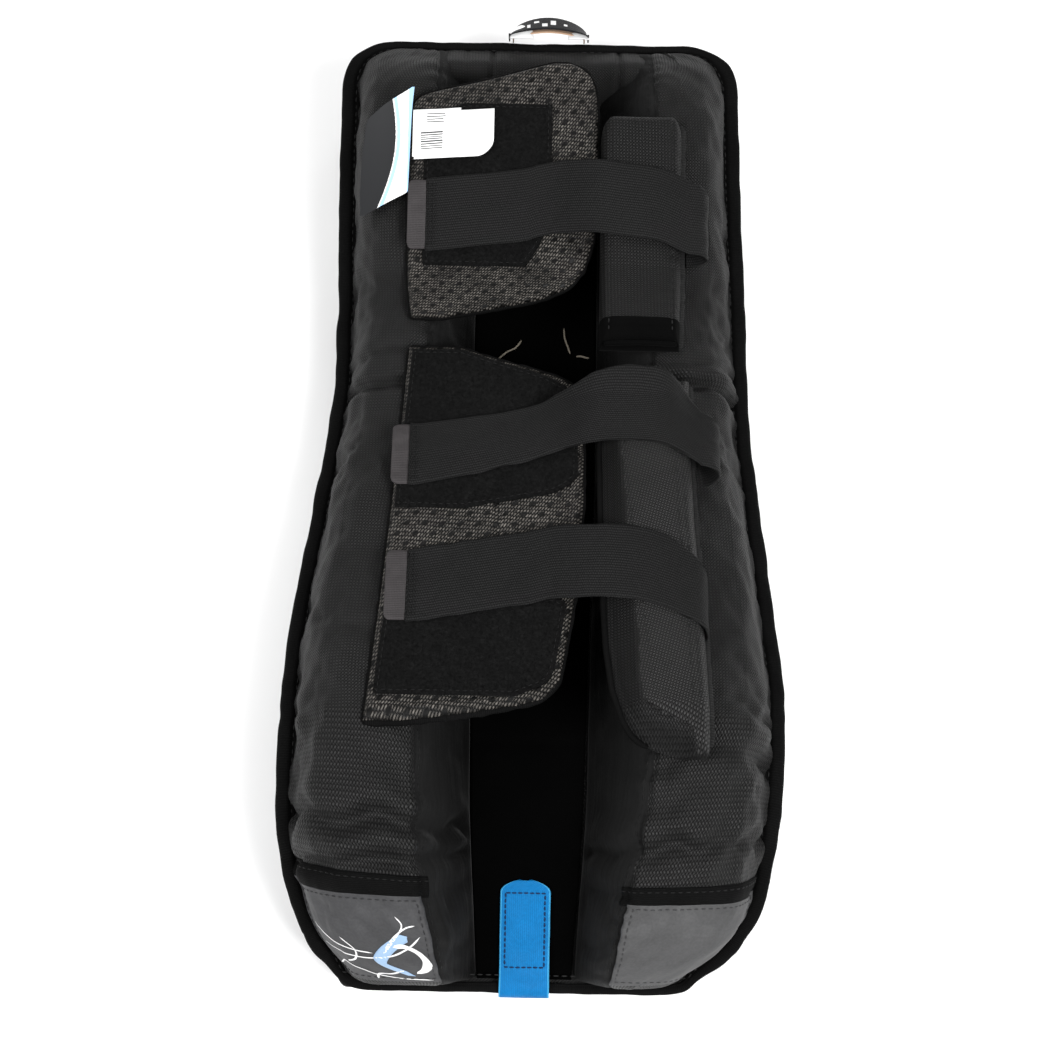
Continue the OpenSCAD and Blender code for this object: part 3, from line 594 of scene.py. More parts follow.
def m_web(name, base=(0.018, 0.19, 0.5), pitch=0.0011, rough=0.5, edge=None):
    m = Mat(name)
    u, v, vec = m.fab()
    h, c = m.weave(u, v, pitch, pitch * 0.8)
    f = m.noise(vec, 500.0, 2.0)
    big = m.noise(vec, 40.0, 2.0)
    k = m.math("MULTIPLY", m.map(h, 0.0, 1.0, 0.75, 1.12), m.map(f, 0.3, 0.7, 0.92, 1.08))
    k = m.math("MULTIPLY", k, m.map(big, 0.3, 0.7, 0.92, 1.08))
    col = m.mixc(m.map(k, 0.0, 2.0, 0.0, 1.0), grey(0.0), tuple(min(1.0, 2 * x) for x in base))
    n = m.bumpn(h, 0.5, 0.0002)
    return m.done(col, rough, n, sheen=0.0, spec=0.08)


def m_card(name, col, rough=0.35):
    m = Mat(name)
    p = m.pos()
    f = m.noise(p, 1400.0, 2.0)
    w = m.noise(p, 60.0, 2.0)
    k = m.math("MULTIPLY", m.map(f, 0.3, 0.7, 0.97, 1.03), m.map(w, 0.3, 0.7, 0.97, 1.03))
    c = m.mixc(m.map(k, 0.0, 2.0, 0.0, 1.0), grey(0.0), tuple(min(1.9, 2 * x) for x in col))
    n = m.bumpn(f, 0.08, 0.0002)
    return m.done(c, rough, n, spec=0.5)


def m_thread(name, col):
    m = Mat(name)
    p = m.pos()
    f = m.noise(p, 2500.0, 2.0)
    c = m.mixc(m.map(f, 0.25, 0.75, 0.2, 1.0), tuple(0.55 * x for x in col), tuple(1.25 * x for x in col))
    n = m.bumpn(f, 0.4, 0.0002)
    return m.done(c, 0.6, n, spec=0.15)


def m_foam(name, col):
    m = Mat(name)
    p = m.pos()
    f = m.noise(p, 600.0, 4.0, 0.7)
    c = m.mixc(m.map(f, 0.25, 0.75, 0.0, 1.0), tuple(0.85 * x for x in col), tuple(1.1 * x for x in col))
    n = m.bumpn(f, 0.5, 0.0006)
    return m.done(c, 0.9, n, spec=0.2)


NYLON = m_nylon("ballistic_nylon", base=0.0081)
# lit copy of the nylon for the calf wing's top: a bias-cut weave with a brighter base as painted light
NYLON2_LIT = m_nylon("ballistic_nylon_bias_lit", base=0.0165, pitch=0.00115, rot=True, contrast=1.25)
NYLON_B = m_nylon("ballistic_nylon_block", base=0.0062, pitch=0.00135, contrast=1.3)
# shaded copy of the nylon for the calf wing's bevel and low edge, darker as painted shade
NYLON3_SHADE = m_nylon("ballistic_nylon_edge_shaded", base=0.0048, pitch=0.0012)
# wall knit; the bolster walls pass it a depth that paints shade towards the channel bottom
WALL = m_knit("brushed_wall_knit_shaded_deep", base=0.0085)
# black liner knit made darker still, near-black, as painted shade for the channel floor and the knee gap
LINER_SHADE = m_knit("channel_liner_knit_painted_shade", base=0.0006, sheen=0.0, spec=0.015)
# dark knit for the knee block's lower end and hem: a dark fabric made darker as painted shade where that end turns down
END_KNIT_SHADE = m_knit("brushed_end_knit_painted_shade", base=0.0016, sheen=0.01, spec=0.03)
TAPE = m_tape("binding_tape")
ELASTIC = m_elastic("ribbed_elastic", base=0.0069)
MESH = m_mesh("spacer_mesh")
LOOP = m_loop("loop_pile", base=0.0034)
HOOK = m_hook("hook_tab", base=(0.031, 0.0275, 0.0285))
VINYL_L = m_vinyl("vinyl_patch_dark", base=(0.042, 0.042, 0.044), rough=0.6)
VINYL_R = m_vinyl("vinyl_patch_grey", base=(0.058, 0.058, 0.059), rough=0.66)
LEATHER = m_vinyl("front_leather_black", base=(0.018, 0.018, 0.02), rough=0.38)
LEATHER2 = m_vinyl("front_leather_grey", base=(0.11, 0.112, 0.118), rough=0.4)
LEATHER3 = m_vinyl("front_leather_white", base=(0.62, 0.62, 0.61), rough=0.4)
BLUE = m_web("blue_webbing", base=(0.004, 0.131, 0.345))
PALEBLUE = m_web("pale_blue_edge", base=(0.04, 0.27, 0.52))
BLACKWEB = m_web("black_webbing", base=(0.012, 0.012, 0.013))
BEIGE = m_web("beige_tape", base=(0.5, 0.33, 0.22))
WHITE = m_card("white_tape", (0.82, 0.82, 0.82), 0.5)
CARD_DK = m_card("card_dark", (0.006, 0.0065, 0.008), 0.4)
CARD_BL = m_card("card_blue", (0.36, 0.58, 0.86), 0.35)
INK = m_card("ink_grey", (0.05, 0.05, 0.05), 0.6)
LINE = m_card("print_white", (0.7, 0.7, 0.7), 0.5)
PBLUE = m_card("print_pale_blue", (0.24, 0.36, 0.52), 0.5)
TH_BLACK = m_thread("black_thread", (0.006, 0.006, 0.006))
TH_GREY = m_thread("grey_thread", (0.012, 0.012, 0.012))
TH_NAVY = m_thread("navy_thread", (0.006, 0.02, 0.07))
LACE = m_thread("pale_lace", (0.17, 0.15, 0.12))
TH_MID = m_thread("patch_thread_grey", (0.035, 0.035, 0.036))
TH_DIM = m_thread("patch_thread_dark", (0.024, 0.024, 0.025))
FOAM = m_foam("closed_cell_foam", (0.5, 0.5, 0.47))
SHEETP = m_vinyl("sheet_plastic", base=(0.6, 0.6, 0.6), rough=0.3, grain=0.3)

ROOT = "root"

# ------------------------------------------------------------------ outline path round the pad
def outline(inset=5.0, step=1.6):
    v = np.arange(36.0, 566.1, 2.0)
    left = np.stack([XL(v) + inset, v], -1)
    right = np.stack([XR(v) - inset, v], -1)
    R = 32.0 - inset
    a = np.radians(np.arange(176, 90, -6))
    cl = np.stack([-127 + 32 + R * np.cos(a), 606 - 32 + (R - 0.0) * np.sin(a)], -1)
    a = np.radians(np.arange(90, 3, -6))
    cr = np.stack([127 - 32 + R * np.cos(a), 606 - 32 + R * np.sin(a)], -1)
    top = np.stack([np.linspace(-90, 90, 30), np.full(30, 606 - inset)], -1)
    toe_r = np.array([(XR(36) - inset - 1.5, 32), (XR(26) - inset - 1.5, 22), (XR(14) - inset - 2, 11), (99 - inset, 4.5), (88 - inset, 2.6)])
    toe = np.stack([np.linspace(76, -90, 40), np.full(40, 2.4)], -1)
    toe_l = np.array([(-98 + inset, 2.6), (-107 + inset, 4.5), (XL(12) + inset + 1, 9), (XL(22) + inset + 1.0, 20), (XL(34) + inset, 31)])
    C = np.concatenate([left, cl, top, cr, right[::-1], toe_r, toe, toe_l])
    C = np.concatenate([C, C[:1]])
    L = np.linalg.norm(np.diff(C, axis=0), axis=1).sum()
    n = int(L / step)
    P = resample(C, n, closed=True)
    for _ in range(6):
        P = (np.roll(P, 1, 0) + P * 2 + np.roll(P, -1, 0)) / 4
    return P


def path_frame(P):
    T = np.roll(P, -1, 0) - np.roll(P, 1, 0)
    T /= np.linalg.norm(T, axis=1)[:, None]
    return T, np.stack([-T[:, 1], T[:, 0]], -1)   # tangent, and outward normal for a clockwise path


OUT = outline()
OT, ON = path_frame(OUT)
S_OUT = np.concatenate([[0], np.cumsum(np.linalg.norm(np.diff(OUT, axis=0), axis=1))])
toe_k = sstep((26 - OUT[:, 1]) / 20.0)          # 1 along the toe edge

# ------------------------------------------------------------------ edge binding
def build_binding():
    n, k = len(OUT), 30
    th = np.arange(k) * 2 * math.pi / k
    s = S_OUT
    top_k = sstep((OUT[:, 1] - 588) / 12.0)
    rx = 5.9 * (1 - 0.5 * toe_k) * (1 - 0.38 * top_k) + 0.2 * noise1(s, 11, 14, 60)
    rz = 4.9 * (1 - 0.48 * toe_k) * (1 - 0.25 * top_k) + 0.2 * noise1(s, 12, 18, 70)
    lat = 0.2 * noise1(s, 13, 30, 80) * (1 - toe_k)      # the edge wanders a little
    lat += 0.16 * noise1(s, 14, 12, 22) * bump((OUT[:, 1] - 110) / 1.0, 70)
    base = deck(OUT[:, 1]) + 0.2
    W0 = base + rz
    X = OUT[:, 0][:, None] + ON[:, 0][:, None] * (lat[:, None] + rx[:, None] * np.cos(th))
    V = OUT[:, 1][:, None] + ON[:, 1][:, None] * (lat[:, None] + rx[:, None] * np.cos(th))
    # gathered folds across the tape, deepest on its inner half
    g = noise1(s, 15, 5, 9)[:, None] * (0.1 + 0.25 * np.clip(-np.cos(th), 0, 1)) + noise1(s, 16, 14, 26)[:, None] * 0.2
    prof = np.sign(np.sin(th)) * np.abs(np.sin(th)) ** 0.8
    W = W0[:, None] + (rz[:, None] + g) * prof
    # the seam that holds it pulls a groove along the inner third
    W -= (1.5 * np.exp(-((np.cos(th) + 0.62) / 0.2) ** 2) * (np.sin(th) > 0))[None, :] * (1 - 0.6 * toe_k)[:, None]
    R = bend(X, V, W)
    u = np.broadcast_to(th * 5.5 / 1000, (n, k))
    vv = np.broadcast_to((s / 1000)[:, None], (n, k))
    ob = loft("edge_binding_roll", R, [TAPE], np.stack([u, vv, u * 0], -1), closed_n=True, flip=True)
    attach(ob, ROOT)
    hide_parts("edge_binding", "toe_binding")
    # stitching in the groove
    q = -0.60
    x = OUT[:, 0] + ON[:, 0] * (lat + rx * q)
    v = OUT[:, 1] + ON[:, 1] * (lat + rx * q)
    w = W0 + rz * math.sqrt(1 - q * q) ** 0.8 - 1.35 * (1 - 0.6 * toe_k)
    keep = OUT[:, 1] > 8
    P = bend(x, v, w)
    i0 = int(np.argmax(keep))
    idx = np.arange(len(keep))[keep]
    stitches("edge_binding_stitching", P[idx], up_at(v[idx]), TH_GREY, ROOT, 3.4, 1.5, 0.42)
    return ob


build_binding()


# ------------------------------------------------------------------ core: front face, side walls, deck
def build_core():
    v = np.concatenate([[0.2, 0.8, 2.0, 3.5], np.arange(6, 602, 3.0), [602.5, 604.2, 605.3, 605.9]])
    n = len(v)
    end = np.clip(np.minimum((v - 0.2) / 3.5, (605.9 - v) / 3.5), 0, 1)
    e = 3.0 * (1 - np.sqrt(1 - (1 - end) ** 2))            # rounds the two end walls
    R32 = np.clip(v - 574, 0, 32)
    cut = 32 - np.sqrt(np.clip(32 ** 2 - R32 ** 2, 0, None))
    l = XL(v) + np.clip(cut, 0, 31) * 0.97 + 0.2
    r = XR(v) - np.clip(cut, 0, 31) * 0.97 - 0.2
    t = core(v) + 1.4
    rings = []
    fabs = []
    kx = 90
    for i in range(n):
        L, Rr, T = l[i], r[i], t[i]
        e0 = e[i]
        # outer line from the left rim down, across the front and up to the right rim
        bulge = 1.1
        side = np.array([(L + 1.2, T), (L + 0.2, T - 4), (L, T * 0.62), (L + 0.4, 14), (L + 2.6, 6.5), (L + 7.5, 1.6), (L + 13.5, 0)])
        side2 = np.array([(Rr - 13.5, 0), (Rr - 7.5, 1.6), (Rr - 2.6, 6.5), (Rr - 0.4, 14), (Rr, T * 0.62), (Rr - 0.2, T - 4), (Rr - 1.2, T)])
        fl = np.stack([np.linspace(L + 16, Rr - 16, kx), np.zeros(kx)], -1)
        a = resample(catmull(side, 40), 22)
        b = resample(catmull(side2, 40), 22)
        topl = np.stack([np.linspace(Rr - 3, L + 3, 30), np.full(30, T)], -1)
        ring = np.concatenate([a, fl, b, topl])
        c = np.array([(L + Rr) / 2, T / 2])
        ring = ring + (c - ring) / np.maximum(np.linalg.norm(c - ring, axis=1)[:, None], 1) * e0
        rings.append(ring)
    G = np.array(rings)
    x, w = G[..., 0], G[..., 1]
    vv = np.broadcast_to(v[:, None], x.shape)
    front = np.zeros(G.shape[1])
    front[10:22 + kx + 12] = 1
    # panel seams and knee rolls pressed into the front face (never lower than the face itself)
    dep = np.zeros_like(x)
    isf = (w < 3.0)
    for vc in (262, 300, 338, 379, 417):
        dep += 2.4 * bump(vv - vc, 3.2)
    for vc in (96, 540):
        dep += 1.3 * bump(vv - vc, 2.2)
    xm = (np.broadcast_to(l[:, None], x.shape) + 34)
    dep += 1.5 * bump(x - xm, 2.2) * (vv < 262)
    xm = (np.broadcast_to(r[:, None], x.shape) - 34)
    dep += 1.5 * bump(x - xm, 2.2) * ((vv > 417) | (vv < 262))
    w = w + np.where(isf, dep, 0) * 1.0
    # side walls: a welt seam and slight give
    sw = (np.abs(x - np.broadcast_to(l[:, None], x.shape)) < 3) | (np.abs(x - np.broadcast_to(r[:, None], x.shape)) < 3)
    sgn = np.where(x < 0, 1.0, -1.0)
    x = x + np.where(sw, sgn * (1.3 * bump(w - 13.5, 1.6) + 0.5 * np.clip(noise2(vv, w, 41, 25, 80), -1.5, 1.5) * bump(w - 24, 14)), 0)
    for vc in (262, 300, 338, 379, 417):
        x = x + np.where(sw, sgn * 1.2 * bump(vv - vc, 3.0) * bump(w - 6, 10), 0)
    R = bend(x, vv, w)
    # colours: black with grey knee rolls and a grey boot panel, white centre panels
    xc = (x[:-1] + np.roll(x, -1, 1)[:-1]) / 2
    vc = (vv[:-1] + vv[1:]) / 2
    wc = (w[:-1] + np.roll(w, -1, 1)[:-1]) / 2
    cm = np.zeros(xc.shape, int)
    f = wc < 5.5
    lm = (l[:-1] + l[1:])[:, None] / 2
    rm = (r[:-1] + r[1:])[:, None] / 2
    cm[f & (vc > 262) & (vc < 417)] = 1
    cm[f & (vc > 300) & (vc < 338)] = 0
    cm[f & (vc > 379) & (vc < 417)] = 0
    cm[f & (vc < 262) & (vc > 96) & (xc > lm + 34) & (xc < rm - 34)] = 2
    cm[f & (vc < 96)] = 1
    cm[f & (vc > 417) & (vc < 540) & (xc < rm - 34)] = 2
    cm[wc > 14.0] = 3
    u, s2 = arc_uv(R)
    ob = loft("front_and_side_cover", R, [LEATHER, LEATHER2, LEATHER3, NYLON], np.stack([u, s2, u * 0], -1), cm, flip=False, cap_mat=3)
    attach(ob, ROOT)
    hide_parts("face_cover", "toe_cap", "thigh_end_cap", "back_cover")
    # welt piping along both side seams
    for nm, tab, sg in (("left", l, 1), ("right", r, -1)):
        ii = np.arange(6, n - 8, 2)
        P = bend(tab[ii] + sg * 0.6, v[ii], np.full(len(ii), 13.5))
        p = tube(nm + "_side_piping", P, 0.0011, TAPE, 8)
        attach(p, ROOT)
    for j, vc in enumerate((262, 300, 338, 379, 417)):
        xx = np.linspace(float(XL(vc)) + 16, float(XR(vc)) - 16, 60)
        P = bend(xx, np.full(60, vc + 2.6), np.full(60, 1.35))
        stitches(f"front_stitching_{j}", P, -up_at(np.full(60, float(vc))), TH_GREY, ROOT, 3.2, 1.6, 0.4)
    return ob


build_core()


# ------------------------------------------------------------------ cloth simulation
def sim_cloth(name, P, N, pins, pressure=2.2, slack=0.03, frames=22, limit=3.0, stiff=6.0):
    """Lets a cover settle over its filling. P and N are (n, k, 3), pins marks where it is sewn down.
    Returns how far each point moves along its normal, in mm."""
    n, k = P.shape[:2]
    ob = mesh_np(name + "_sim", P.reshape(-1, 3), [grid_faces(n, k)], NYLON)
    g = ob.vertex_groups.new(name="sewn")
    g.add([int(i) for i in np.nonzero(pins.reshape(-1))[0]], 1.0, "REPLACE")
    # the normals must point outwards for the pressure to push out
    nz = np.array([p.normal for p in ob.data.polygons])
    c = N[:-1, :-1].reshape(-1, 3)
    if (nz * c).sum() < 0:
        ob.data.flip_normals()
    md = ob.modifiers.new("cloth", "CLOTH")
    st = md.settings
    st.quality = 6
    st.mass = 0.25
    st.tension_stiffness = stiff
    st.compression_stiffness = stiff
    st.shear_stiffness = stiff * 0.6
    st.bending_stiffness = 0.35
    st.air_damping = 3.0
    st.vertex_group_mass = "sewn"
    st.use_pressure = True
    st.uniform_pressure_force = pressure
    st.shrink_min = -slack
    st.effector_weights.gravity = 0.0
    md.collision_settings.use_collision = False
    md.collision_settings.use_self_collision = False
    sc = bpy.context.scene
    md.point_cache.frame_start = 1
    md.point_cache.frame_end = frames
    for fr in range(1, frames + 1):
        sc.frame_set(fr)
    dg = bpy.context.evaluated_depsgraph_get()
    ev = ob.evaluated_get(dg)
    co = np.empty(n * k * 3)
    ev.data.vertices.foreach_get("co", co)
    sc.frame_set(1)
    me = ob.data
    bpy.data.objects.remove(ob)
    bpy.data.meshes.remove(me)
    d = ((co.reshape(n, k, 3) - P) * N).sum(-1) * 1000
    d = np.nan_to_num(d)
    return np.clip(d, -limit, limit)


def spread(D, iv, jv, I, J):
    """Reads a coarse (len(iv), len(jv)) grid at fine rows I and columns J."""
    A = np.stack([np.interp(J, jv, row) for row in D])
    return np.stack([np.interp(I, iv, A[:, q]) for q in range(A.shape[1])], -1)


# ------------------------------------------------------------------ bolsters
IN_L = Table([(-40, -42), (0, -42), (16, -46), (50, -52), (80, -60), (125, -63), (660, -63)], 5)
FOOT_L = Table([(-40, -28), (0, -28), (60, -31), (100, -34), (300, -39), (660, -39)], 5)
IN_R = Table([(-40, 44), (0, 44), (16, 48), (50, 52), (80, 60), (115, 70), (660, 70)], 5)
FOOT_R = Table([(-40, 29), (0, 29), (60, 32), (100, 35), (300, 39), (660, 39)], 5)
SEG = [8, 8, 7, 8, 8, 8, 8, 15, 10, 2, 12]


def closed_spline(P, seg):
    """P (n, m, 2) closed control rings, sampled seg[i] times on span i."""
    n, m = P.shape[:2]
    out = []
    for i in range(m):
        p0, p1, p2, p3 = P[:, i - 1], P[:, i], P[:, (i + 1) % m], P[:, (i + 2) % m]
        t = (np.arange(seg[i]) / seg[i])[None, :, None]
        q = 0.5 * (2 * p1[:, None] + (p2 - p0)[:, None] * t + (2 * p0 - 5 * p1 + 4 * p2 - p3)[:, None] * t ** 2 + (3 * p1 - p0 - 3 * p2 + p3)[:, None] * t ** 3)
        lin = p1[:, None] * (1 - t) + p2[:, None] * t
        k = 0.72 if i < 8 else 0.15
        out.append(q * k + lin * (1 - k))
    return np.concatenate(out, 1)


SURF = {}
SIM_MAX = {}


def build_bolster(side, cloth=None):
    sg = 1 if side == "left" else -1
    v = np.concatenate([[7.0, 7.25, 7.8, 8.7, 10.0], np.arange(11.6, 593.0, 1.7), [594.2, 595.4, 596.2, 596.7, 597.0]])
    cut = 32 - np.sqrt(np.clip(32 ** 2 - np.clip(v - 574, 0, 32) ** 2, 0, None))
    n = len(v)
    if sg > 0:
        o, i, g = XL(v) + 13.2 + cut, IN_L(v), FOOT_L(v)
    else:
        o, i, g = -(XR(v) - 13.2 - cut), -IN_R(v), -FOOT_R(v)
    b = deck(v) + 0.1
    c = CROWN(v)
    if sg < 0:      # the calf part swells over the thigh part at the knee
        c = c + 1.6 * bump(v - 332, 14) - 3.2 * bump(v - 357, 6)
    else:
        c = c + 0.8 * bump(v - 336, 12) - 2.2 * bump(v - 351, 5)
    c = c + 0.8 * noise1(v, 21 + sg, 60, 160)
    h = c - b
    st = lambda a, w: np.stack([a, w], -1)
    P = np.stack([st(o, b), st(o - 1.2, b + .3 * h), st(o + 3, b + .66 * h), st(o + 11, b + .9 * h), st(o + 24, c - .2), st((o + i) / 2 + 4, c + 0.9), st(i - 11, c - .1), st(i - 1.2, c - .075 * h), st(i + .42 * (g - i), b + .56 * h), st(g, b + .08 * h), st(g - 1, b)], 1)
    R = closed_spline(P, SEG)
    k = R.shape[1]
    ctr = np.stack([(o + g) / 2, b + h * .45], -1)[:, None]
    T = np.roll(R, -1, 1) - np.roll(R, 1, 1)
    T /= np.linalg.norm(T, axis=2)[..., None] + 1e-9
    N = np.stack([-T[..., 1], T[..., 0]], -1)
    N *= np.sign(((R - ctr) * N).sum(-1, keepdims=True))
    ds = np.concatenate([np.zeros((n, 1)), np.cumsum(np.linalg.norm(np.diff(R, axis=1), axis=2), 1)], 1)
    vv = np.broadcast_to(v[:, None], ds.shape)
    j_in = sum(SEG[:7])            # the inner seam
    j_out = sum(SEG[:3]) + 3       # upper outer edge
    s_in = ds[:, j_in][:, None]
    top = sstep(ds / 20) * sstep((s_in + 30 - ds) / 24)
    idx = np.arange(k)
    nyl = (idx <= j_in)[None, :]
    d = 0.75 * noise2(ds, vv, 31 + sg, 26, 70) * top
    d = d + 0.30 * noise2(ds, vv, 33 + sg, 9, 20) * top
    # gathers where the cover is sewn under the binding
    g1 = noise1(vv[:, :1], 35 + sg, 9, 20)
    d = d + g1 * 0.6 * np.exp(-(ds / 15) ** 2) * (ds < 60)
    low = bump(vv - 108, 60)
    d = d + noise1(vv[:, :1], 37 + sg, 14, 30) * (1.0 if sg < 0 else 0.6) * np.exp(-(ds / 26) ** 2) * low * (ds < 80)
    # inner seam: pressed groove with small puckers either side
    e = ds - s_in
    d = d - 1.7 * bump(e, 1.7) + 0.7 * bump(e - 5, 4) * nyl + 0.55 * bump(e + 5, 4)
    d = d + noise1(vv[:, :1], 39 + sg, 6, 12) * 0.5 * bump(e, 8)
    # the wall fabric hangs in soft vertical folds
    wall = (e > 0) & (idx < sum(SEG[:9]))[None, :]
    d = d + wall * 0.9 * noise2(ds * 0.4, vv, 43 + sg, 22, 55) * sstep(e / 12)
    # creases where the pad bends
    def crease(vc, depth, wd, tilt, wob, fade=None, seed=1):
        q = vv - vc - tilt * (ds - 40) - wob * noise1(ds, seed, 25, 60)
        f = -depth * bump(q, wd) + 0.42 * depth * bump(np.abs(q) - wd * 2.3, wd * 1.6)
        return f * (1 if fade is None else fade)
    if sg < 0:
        d = d + crease(352, 6.5, 3.4, 0.03, 1.5, None, 51)
        d = d + crease(368, 1.8, 3.0, -0.06, 2.0, sstep((s_in - ds + 20) / 40), 52)
        d = d + crease(134, 3.6, 3.4, 0.10, 2.5, np.exp(-((ds - 20) / 34) ** 2), 53)
        d = d + crease(116, 4.2, 3.2, 0.05, 2.0, np.exp(-((ds - 30) / 40) ** 2), 54)
        d = d + crease(86, 3.6, 3.0, -0.05, 2.0, None, 55)
    else:
        d = d + crease(351, 3.6, 2.8, -0.02, 1.6, None, 56)
        d = d + crease(370, 1.4, 3.2, 0.08, 2.0, None, 57)
        d = d + crease(93, 4.4, 3.2, -0.05, 2.0, None, 58)
        d = d + crease(76, 3.4, 2.6, 0.03, 1.5, None, 59)
        d = d + crease(134, 1.4, 3.4, 0.10, 2.5, np.exp(-((ds - 22) / 30) ** 2), 60)
    # the cover settles over its foam, sewn at the foot, the inner seam and the creases
    ii = np.unique(np.concatenate([np.arange(0, n, 4), [n - 1]]))
    jj = np.arange(0, sum(SEG[:9]) + 1, 3)
    jj = np.unique(np.append(jj, j_in))
    Pc = bend(R[ii][:, jj, 0] * sg, vv[ii][:, jj], R[ii][:, jj, 1])
    Nc = bend(R[ii][:, jj, 0] * sg + N[ii][:, jj, 0] * sg, vv[ii][:, jj], R[ii][:, jj, 1] + N[ii][:, jj, 1]) - Pc
    Nc /= np.linalg.norm(Nc, axis=2)[..., None]
    sewn = np.zeros(Pc.shape[:2], bool)
    sewn[[0, 1, -2, -1]] = True
    sewn[:, [0, -1]] = True
    sewn[:, int(np.argmin(abs(jj - j_in)))] = True
    for vc in ((352, 116, 64) if sg < 0 else (351, 93, 66)):
        sewn[int(np.argmin(abs(v[ii] - vc)))] = True
    D = sim_cloth(side + "_bolster", Pc, Nc, sewn, slack=0.014, limit=1.8)
    SIM_MAX[side] = float(np.abs(D).max())
    d = d + spread(D, ii, jj, np.arange(n), idx) * 1.0
    bottom = (idx >= sum(SEG[:9]))[None, :]
    d = np.where(bottom, 0, d)
    R = R + N * d[..., None]
    R[..., 1] = np.maximum(R[..., 1], (b + 0.02)[:, None])
    # rounded ends
    en = np.clip(np.minimum(v - 7.0, 597.0 - v) / 5.0, 0, 1)
    sh = (1 - np.sqrt(np.clip(1 - (1 - en) ** 2, 0, 1))) * 5.0
    dirv = ctr - R
    ln = np.linalg.norm(dirv, axis=2, keepdims=True)
    R = R + dirv / np.maximum(ln, 1) * np.minimum(sh[:, None, None], ln)
    R[..., 1] = np.maximum(R[..., 1], b[:, None])
    x = R[..., 0] * sg
    G = bend(x, vv, R[..., 1])
    cm = np.zeros(k, int)
    cm[j_in:sum(SEG[:10])] = 1
    # depth down the channel wall, 0 up to the inner seam and 1 at the bottom, read by the knit material as painted
    # shade
    depth = np.clip((ds - s_in) / (ds[:, sum(SEG[:9])][:, None] - s_in), 0, 1)
    depth = np.where(idx[None] > sum(SEG[:9]), 1.0, depth)
    fab = np.stack([ds / 1000, vv / 1000, depth], -1)
    ob = loft(side + "_bolster_cover", G, [NYLON, WALL], fab, cm, flip=(sg > 0), cap_mat=0)
    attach(ob, ROOT)
    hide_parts(*[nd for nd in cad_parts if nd.startswith(side) and "bolster" in nd])
    # surface for what is sewn on it
    nx = N.copy()
    Nw = bend(x + nx[..., 0] * sg * 1.0, vv, R[..., 1] + nx[..., 1] * 1.0) - G
    Nw /= np.linalg.norm(Nw, axis=2)[..., None]
    SURF[side] = (v, ds, G, Nw, j_in)
    # seam thread
    jj = j_in
    for off, nm in ((-2, "a"), (2, "b")):
        a = np.arange(10, n - 8)
        P3 = G[a, jj + off]
        stitches(f"{side}_inner_seam_{nm}", P3, Nw[a, jj + off], TH_BLACK, ROOT, 3.4, 1.8, 0.4)
    return ob


def on_surf(side, v, s):
    """Point and normal on a bolster at v and at distance s (mm) round its section from the outer foot."""
    vs, ds, G, Nw, _ = SURF[side]
    v, s = np.broadcast_arrays(np.asarray(v, float), np.asarray(s, float))
    fi = np.interp(v, vs, np.arange(len(vs)))
    i0 = np.clip(fi.astype(int), 0, len(vs) - 2)
    f = (fi - i0)[..., None]
    flat_i, flat_s, flat_f = i0.ravel(), s.ravel(), f.ravel()
    out = np.empty(len(flat_i))
    cols = np.arange(ds.shape[1])
    for q in range(len(flat_i)):
        row = ds[flat_i[q]] * (1 - flat_f[q]) + ds[flat_i[q] + 1] * flat_f[q]
        out[q] = np.interp(flat_s[q], row, cols)
    fj = out.reshape(v.shape)
    j0 = np.clip(fj.astype(int), 0, ds.shape[1] - 2)
    g = (fj - j0)[..., None]

    def at(A):
        return (A[i0, j0] * (1 - f) + A[i0 + 1, j0] * f) * (1 - g) + (A[i0, j0 + 1] * (1 - f) + A[i0 + 1, j0 + 1] * f) * g
    p, nn = at(G), at(Nw)
    return p, nn / np.linalg.norm(nn, axis=-1, keepdims=True)


def skin(name, P, N, t0, t1, mats, cm=None, body=ROOT, edge=0.6, fab=None):
    """Thin closed layer over a grid of points P (n, k, 3) with normals N, from t0 to t1 mm above it, closed round its
    rim. Its edge argument is not used.
    """
    n, k = P.shape[:2]
    t0, t1 = np.asarray(t0, float), np.asarray(t1, float)
    A = P + N * (np.broadcast_to(t1, P.shape[:2])[..., None] / 1000)
    B = P + N * (np.broadcast_to(t0, P.shape[:2])[..., None] / 1000)
    u, v = arc_uv(P)
    F1 = grid_faces(n, k)
    F2 = grid_faces(n, k, off=n * k)[:, ::-1]
    rim = np.concatenate([np.arange(k), k - 1 + k * np.arange(1, n), (n - 1) * k + np.arange(k - 2, -1, -1), k * np.arange(n - 2, 0, -1)])
    r2 = np.roll(rim, -1)
    F3 = np.stack([rim, rim + n * k, r2 + n * k, r2], -1)
    if fab is None:
        fab = np.stack([u, v, u * 0], -1)
    fb = np.concatenate([fab.reshape(-1, 3), fab.reshape(-1, 3)])
    mi = None
    if cm is not None:
        c = np.asarray(cm).reshape(-1)
        mi = np.concatenate([c, c, np.full(len(F3), c[0])])
    ob = mesh_np(name, np.concatenate([A.reshape(-1, 3), B.reshape(-1, 3)]), [np.concatenate([F1, F2, F3])], mats, fb, mi)
    fix_normals(ob)
    if body:
        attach(ob, body)
    return ob


def fix_normals(ob, merge=False):
    import bmesh
    bm = bmesh.new()
    bm.from_mesh(ob.data)
    if merge:
        bmesh.ops.remove_doubles(bm, verts=bm.verts, dist=2e-6)
        bmesh.ops.dissolve_degenerate(bm, edges=bm.edges, dist=1e-7)
    bmesh.ops.recalc_face_normals(bm, faces=bm.faces)
    bm.to_mesh(ob.data)
    bm.free()


build_bolster("left")
build_bolster("right")


